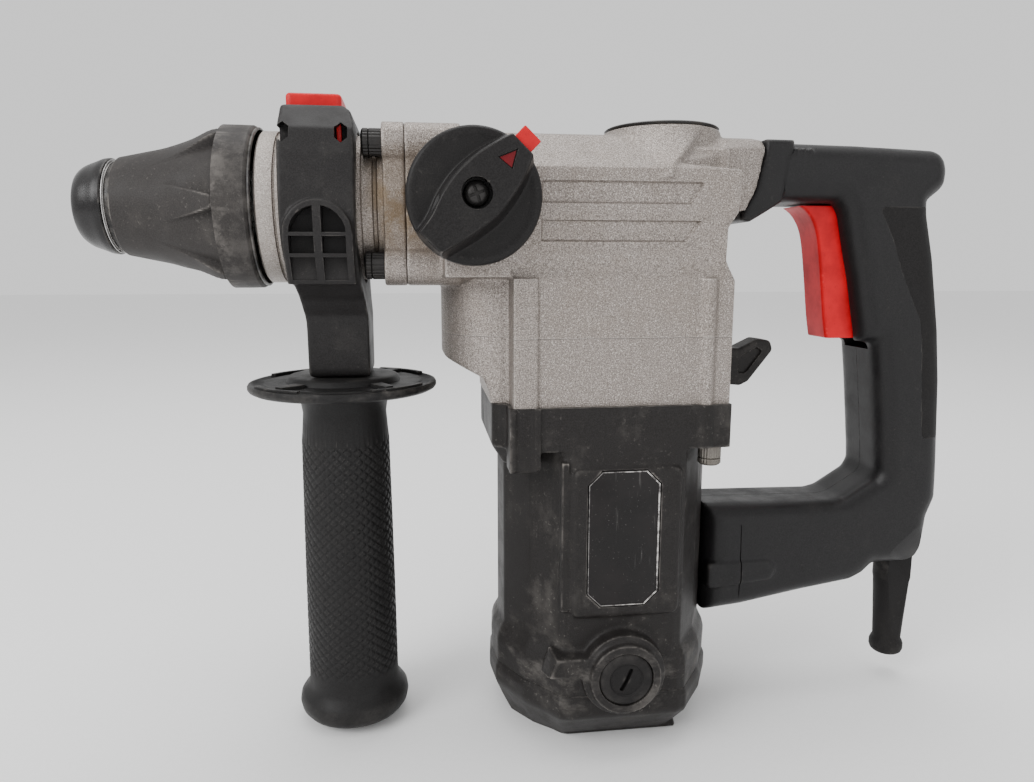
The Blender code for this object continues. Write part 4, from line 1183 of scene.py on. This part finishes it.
def handle_room():
    """Side view of the hollow inside the D-handle."""
    return [
        (60.0, 51.5), (94.0, 57.3), (119.5, 61.4), (123.5, 64.0), (128.6, 69.0), (148.5, 69.2),
        (150.6, 71.0), (152.6, 88.8), (155.8, 98.0), (155.4, 108.0), (154.2, 129.0), (152.6, 152.0),
        (150.0, 175.0), (144.4, 207.0), (138.6, 232.5), (146.4, 240.5), (146.6, 248.0), (143.0, 250.4),
        (111.0, 251.4), (84.0, 251.8), (84.0, 236.2), (103.5, 236.2), (108.0, 228.0), (111.5, 212.5),
        (115.0, 199.0), (120.0, 176.0), (127.6, 174.6), (127.6, 169.0), (129.6, 153.5), (131.9, 133.5),
        (133.6, 118.0), (134.8, 106.0), (115.0, 93.0), (108.5, 91.5), (60.0, 92.4),
    ]


def pad_outline(grow=0.0):
    """Side view of the soft pad at the back of the grip."""
    left = [(118.2, 229.6), (125.6, 215.7), (130.5, 202.7), (139.2, 185.1), (141.6, 180.6),
            (143.2, 171.6), (144.8, 153.4), (146.4, 134.9), (147.6, 126.3)]
    right = [(156.0, 126.3), (154.6, 152.0), (151.8, 176.0), (146.6, 206.0), (141.0, 229.8)]
    points = [(x - grow, z) for x, z in left] + [(x + grow, z) for x, z in right]
    return [(x, z + (grow if z > 200.0 else -grow)) for x, z in points]


def pad_piece(name, side, low, high, grow):
    """Pad-shaped block on one flank, following the rounded side of the grip."""
    block = prism(name, rounded(pad_outline(grow), 2.0), "Y", *flank(7.0, 30.0, side))
    common(block, shell_layer(high))
    return cut(block, shell_layer(low))


def shell_layer(offset):
    """Closed copy of the handle form with its surface moved along the normals."""
    solid = handle_form()
    normals = [vertex.normal.copy() for vertex in solid.data.vertices]
    for vertex, normal in zip(solid.data.vertices, normals):
        vertex.co += normal * offset
    return solid


def handle_shell():
    """Handle form with its collar, its bellows ribs and the bracket at the motor."""
    shell = handle_form()
    collar = pillow("collar", [
        (64.7, 257.0), (64.0, 251.5), (60.0, 236.0), (55.0, 227.0), (55.2, 223.5), (59.0, 222.8),
        (65.5, 226.6), (68.9, 228.7), (73.2, 231.4), (74.0, 236.0), (75.0, 248.5), (77.0, 251.5),
        (77.6, 256.9),
    ], 20.4, 2.4)
    ribs = [pillow("rib", rect(x, 243.6, x + 1.5, 253.8), 18.6, 0.5, 2) for x in (78.8, 81.8, 84.8)]
    bracket = pillow("bracket", rounded([
        (46.6, 71.0), (76.0, 71.5), (80.0, 66.5), (77.5, 62.2), (66.0, 60.6), (46.6, 58.6),
    ], 2.5), 20.6, 1.8)
    merge(shell, collar, bracket, *ribs)
    return skin(shell, 0.8, 4)


def corner_facet(side):
    """Tool for the slanted facet at the lower rear corner of the handle."""
    facet = [(124.0, side * 19.4, 61.5), (151.4, side * 19.4, 87.2), (172.0, side * 19.4, 106.5),
             (172.0, side * 30.0, 106.5), (172.0, side * 30.0, 50.0), (124.0, side * 30.0, 50.0)]
    low = [(x + 12.0, side * (12.4 if abs(y) < 20.0 else 30.0), z - 12.8) for x, y, z in facet]
    return loft("facet", [facet, low])


def build_handle():
    """Both handle shells with their seams and hollow room, and the soft pads."""
    shell = handle_shell()
    seam = [(62.0, 88.5), (62.5, 88.2), (62.9, 60.0), (62.3, 40.0), (61.8, 40.0), (62.3, 60.0)]
    for side in FACING:
        cut(shell, corner_facet(side))
        cut(shell, prism("seam", seam, "Y", *flank(18.5, 24.0, side)))
        cut(shell, pad_piece("recess", side, -0.7, 2.0, 0.12))
    cut(shell, prism("room", handle_room(), "Y", -11.0, 11.0))
    cut(shell, box("trigger_slot", (98.0, -9.4, 166.8), (128.0, 9.4, 231.9)))
    cut(shell, rod("cord_hole", "Z", (CORD_X, 0.0), 8.9, 55.0, 75.0))
    other = shell.copy()
    other.data = shell.data.copy()
    bpy.context.scene.collection.objects.link(other)
    for half, name, side in ((shell, "right", -1), (other, "left", 1)):
        half.name = "handle_" + name
        inner, outer = flank(0.12, 40.0, side)
        common(half, box("half", (20.0, inner, 10.0), (200.0, outer, 280.0)))
        place(half, "body", "dark_plastic", HANDLE_BLACK, "handle_" + name, sharp=36)
    for name, side in (("left", 1), ("right", -1)):
        pad = pad_piece("grip_pad_" + name, side, -0.66, -0.05, 0.0)
        place(pad, "body", "soft_rubber", SOFT_BLACK, "grip_pad_" + name, sharp=36)


def build_trigger():
    """Trigger with a flat front, rounded edges and a curved upper corner."""
    fronts = through([(172.0, 102.9), (180.0, 101.4), (187.0, 100.4), (198.0, 99.0), (210.0, 97.3),
                      (217.0, 96.0), (221.5, 94.6), (225.3, 92.6), (228.6, 89.8), (230.8, 86.5)], 4)
    sections = []
    for z, x in fronts:
        back = 122.0 + 3.0 * (z - 172.0) / 6.0 if z < 178 else 125.0 - 7.0 * (z - 178.0) / 48.0
        sections.append(at_level(both_flanks([(x, -7.6), (x + 1.0, -8.8), (back, -8.8)]), z))
    trigger = loft("trigger", sections)
    skin(trigger, 0.4, 6)
    place(trigger, "trigger_unit", "red_plastic", RED, "trigger")


def build_strain_relief():
    """Tapered cord sleeve with flattened sides and a bead at its end."""
    sleeve = turned("strain_relief", [
        (12.0, 3.2), (12.0, 6.2), (12.8, 7.2), (14.4, 7.8), (16.8, 7.8), (18.4, 7.2), (19.7, 6.5),
        (30.0, 7.0), (50.0, 8.2), (52.0, 8.6), (72.0, 8.6), (72.0, 3.2),
    ], "Z", (CORD_X, 0.0), 96)
    for side in FACING:
        inner, outer = flank(6.3, 20.0, side)
        cut(sleeve, box("flat", (100.0, inner, 19.8), (200.0, outer, 66.0)))
    place(sleeve, "body", "soft_rubber", SOFT_BLACK, "strain_relief")


# ---------------------------------------------------------------- side handle

def clamp_form():
    """Outer form of the clamp: crown, barrel round the neck, stem and the raised arches."""
    front = [(-22.0, 265.3), (-32.5, 255.0), (-35.6, 246.0), (-37.4, 232.0), (-37.6, 224.0),
             (-35.6, 211.0), (-29.5, 199.0), (-21.0, 191.0), (-16.6, 184.0), (-16.0, 176.0),
             (-16.0, 158.7)]
    side = [
        (-132.0, 265.3), (-108.4, 265.3), (-105.4, 262.8), (-104.2, 258.0), (-103.8, 245.0),
        (-104.2, 214.0), (-103.2, 199.0), (-101.6, 184.0), (-101.6, 158.7), (-126.5, 158.7),
        (-126.6, 182.0), (-128.6, 195.0), (-131.4, 206.0), (-132.0, 216.0),
    ]
    clamp = prism("side_clamp", rounded(both_sides(front), 4.0), "X", -133.0, -100.0)
    common(clamp, pillow("form", rounded(side, 2.0), 45.0, 0.5, 1))
    skin(clamp, 0.6, 4)
    for face in FACING:
        shape = prism("arch", arch(12.9, 197.4), "Y", *flank(20.0, 39.2, face))
        lean = [(20.0, 190.0), (30.2, 196.0), (37.4, 210.0), (39.0, 222.0), (38.6, 232.0), (20.0, 232.0)]
        common(shape, prism("lean", [(face * y, z) for y, z in lean], "X", -140.0, -90.0))
        join(clamp, shape)
    return skin(clamp, 0.55, 2)


def arch(radius, low):
    """Side view of a round arch on the clamp."""
    left = ARCH[0] - radius
    right = ARCH[0] + radius
    return [(left, low), (left, ARCH[1])] + arc(ARCH, radius, 180, 0, 16) + [(right, low)]


def clamp_pockets():
    """Tools for the six pockets inside each arch."""
    pockets = []
    reach = [(-128.6, 190.0), (-128.6, 216.0)] + arc(ARCH, 10.6, 180, 0, 12) + [(-107.4, 190.0)]
    for face in FACING:
        for left, right in ((-128.6, -119.4), (-116.4, -107.6)):
            for low, high in ((199.0, 207.6), (209.0, 215.4), (216.8, 226.6)):
                pocket = prism("pocket", rect(left, low, right, high), "Y", *flank(31.2, 45.0, face))
                pockets.append(common(pocket, prism("reach", reach, "Y", -50.0, 50.0)))
    return pockets


def build_clamp():
    """Clamp of the side handle with its pockets, windows, bore and red bars."""
    clamp = clamp_form()
    for pocket in clamp_pockets():
        cut(clamp, pocket)
    for face in FACING:
        for x in (-129.9, -108.6):
            hexagon = [(x + 2.7 * a, 253.5 + 4.0 * b) for a, b in
                       ((0.0, 1.0), (0.9, 0.5), (0.9, -0.5), (0.0, -1.0), (-0.9, -0.5), (-0.9, 0.5))]
            cut(clamp, prism("window", hexagon, "Y", *flank(24.5, 45.0, face)))
    cut(clamp, rod("neck_bore", "X", SPINDLE, 30.75, -140.0, -90.0, 96),
        box("button_well", (-134.0, -11.1, 261.9), (-109.4, 11.1, 270.0)))
    cut(clamp, rod("bolt_hole", "Z", (GRIP_X, 0.0), 4.6, 150.0, 200.0))
    cut(clamp, rod("head_well", "Z", (GRIP_X, 0.0), 8.3, 188.0, 205.0))
    place(clamp, "side_arm", "dark_plastic", CLAMP_BLACK, "side_clamp", sharp=36)
    for face in FACING:
        inner, outer = flank(24.7, 27.2, face)
        bar = box("window_bar", (-110.6, inner, 250.6), (-108.8, outer, 257.8))
        place(bevel(bar, 0.3), "side_arm", "red_plastic", RED)


def build_button():
    """Red release button with rounded corners."""
    outline = rounded(rect(-131.8, -10.6, -109.9, 10.6), 2.6)
    button = bevel(prism("side_button", outline, "Z", 265.0, 272.1), 1.6, 4, 50)
    place(button, "button", "red_plastic", RED, "side_button")


def grip_radius(along, radius, angle):
    """Diamond hatch on the grip, with a whole number of grooves round it."""
    if along < 23.0 or along > 131.0 or radius < 16.0:
        return radius
    middle_radius = 19.0
    grooves = 26
    across = angle * middle_radius
    pitch = 2 * math.pi * middle_radius / grooves
    rise = along * 1.14
    fade = smooth_step(along, 23.0, 27.0) * (1 - smooth_step(along, 129.0, 131.0))
    first = abs(((across + rise) / pitch) % 1.0 - 0.5)
    second = abs(((across - rise) / pitch) % 1.0 - 0.5)
    groove = max(smooth_step(first, 0.34, 0.48), smooth_step(second, 0.34, 0.48))
    return radius - 0.45 * groove * fade


def build_grip():
    """Side grip with its hatch, end flange and the guard disc."""
    low = [(2.0, 0.0), (2.0, 15.0), (2.6, 18.6), (4.2, 22.0), (6.6, 23.8), (9.4, 24.4), (12.0, 24.0),
           (13.8, 22.8), (15.6, 21.0), (18.0, 20.1), (22.0, 19.9)]
    steps = 190
    shaft = [(22.5 + (130.0 - 22.5) * i / steps, 19.9 - 1.1 * (i / steps) ** 1.5)
             for i in range(steps + 1)]
    high = [(134.0, 18.4), (142.0, 17.8), (147.0, 18.6), (149.4, 20.4), (150.2, 24.0), (151.0, 33.0),
            (151.6, 37.6), (152.4, 39.2), (153.4, 39.9), (154.6, 39.9), (155.4, 39.4), (155.7, 38.4),
            (155.4, 37.6), (154.9, 37.0), (154.9, 33.8), (155.5, 33.2), (155.6, 27.0), (155.6, 24.2),
            (157.6, 23.4), (158.2, 22.6), (158.3, 20.0), (158.3, 4.6), (95.0, 4.6), (95.0, 0.0)]
    centre = (GRIP_X, 0.0)
    grip = turned("side_grip", low + shaft + high, "Z", centre, 272, grip_radius)
    for turn in (52, 128, 232, 308):
        tab = spun([(24.5, -3.4), (35.5, -3.4), (35.5, 0.6), (24.5, 2.6)], turn, centre)
        join(grip, prism("tab", rounded(tab, 0.8, 3), "Z", 153.0, 156.9))
        slot = spun([(26.0, 2.8), (34.0, 1.4), (34.0, 3.2), (26.0, 4.6)], turn, centre)
        cut(grip, prism("slot", slot, "Z", 154.2, 159.0))
    for start in (28, 112, 208, 292):
        band = arc(centre, 38.4, start, start + 40, 14) + arc(centre, 36.2, start + 40, start, 14)
        join(grip, prism("band", band, "Z", 153.6, 156.4))
    place(grip, "grip", "soft_rubber", GRIP_BLACK, "side_grip", sharp=40)


# ---------------------------------------------------------------- inner pieces

INNER = {
    STEEL: ("impact_bolt", "striker", "wrist_pin", "connecting_rod", "crankshaft", "layshaft", "bevel_ring",
            "armature_shaft", "sleeve_spring", "side_bolt"),
    TURNED_STEEL: ("spindle", "spindle_bearing", "cylinder_bearing", "armature_bearing_top",
                   "armature_bearing_low", "crank_gear", "lay_gear"),
    ALLOY: ("piston", "bearing_bridge"),
    IRON: ("armature_core", "stator"),
    COPPER: ("commutator",),
    CARBON: ("brush_near", "brush_far"),
    MOTOR_BLACK: ("fan", "switch"),
}


def dress_inner():
    """Give the CAD nodes that stay their materials."""
    for surface, names in INNER.items():
        for name in names:
            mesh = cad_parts[name].data
            mesh.materials.clear()
            mesh.materials.append(surface)


# ---------------------------------------------------------------- studio

def build_studio():
    """Pale floor, even surroundings and soft lights, all in metres."""
    floor = make_mesh("floor", at_level(rect(-6.0, -6.0, 6.0, 6.0), 0.0), [(0, 1, 2, 3)])
    floor.data.materials.append(studio_ground("studio_floor", (0.90, 0.90, 0.90)))
    world = bpy.data.worlds.new("studio_world")
    bpy.context.scene.world = world
    world.use_nodes = True
    background = world.node_tree.nodes["Background"]
    background.inputs["Color"].default_value = (1.0, 1.0, 1.0, 1.0)
    background.inputs["Strength"].default_value = 1.0
    lamps = (
        ("key", (-1.15, -0.80, 0.95), 1.0, 17.0), ("fill", (0.7, -1.3, 0.5), 1.4, 3.5),
        ("top", (0.0, 0.2, 1.5), 1.2, 11.0),
    )
    target = Vector((-0.02, 0.0, 0.15))
    for name, spot, size, power in lamps:
        lamp = bpy.data.lights.new(name, "AREA")
        lamp.shape = "DISK"
        lamp.size = size
        lamp.energy = power
        obj = bpy.data.objects.new(name, lamp)
        obj.location = spot
        obj.rotation_euler = (target - Vector(spot)).to_track_quat("-Z", "Y").to_euler()
        bpy.context.scene.collection.objects.link(obj)


def build_camera():
    """Camera at the view of the photograph, in metres."""
    camera = bpy.data.cameras.new("camera")
    camera.sensor_width = 36.0
    camera.lens = 26.11
    camera.clip_start = 0.02
    obj = bpy.data.objects.new("camera", camera)
    obj.location = (-0.0803, -0.3298, 0.2034)
    forward = Vector((0.12506, 0.97897, -0.16126))
    obj.rotation_euler = forward.to_track_quat("-Z", "Y").to_euler()
    bpy.context.scene.collection.objects.link(obj)
    bpy.context.scene.camera = obj


def build():
    """Build every piece."""
    build_camera()
    build_studio()
    build_chuck()
    build_front_cover()
    build_gear_housing()
    build_gear_base()
    build_grease_cap()
    build_screws()
    build_knob()
    build_lever()
    build_motor_housing()
    build_tail()
    build_label()
    build_brush_caps()
    build_handle()
    build_trigger()
    build_strain_relief()
    build_clamp()
    build_button()
    build_grip()
    dress_inner()


build()
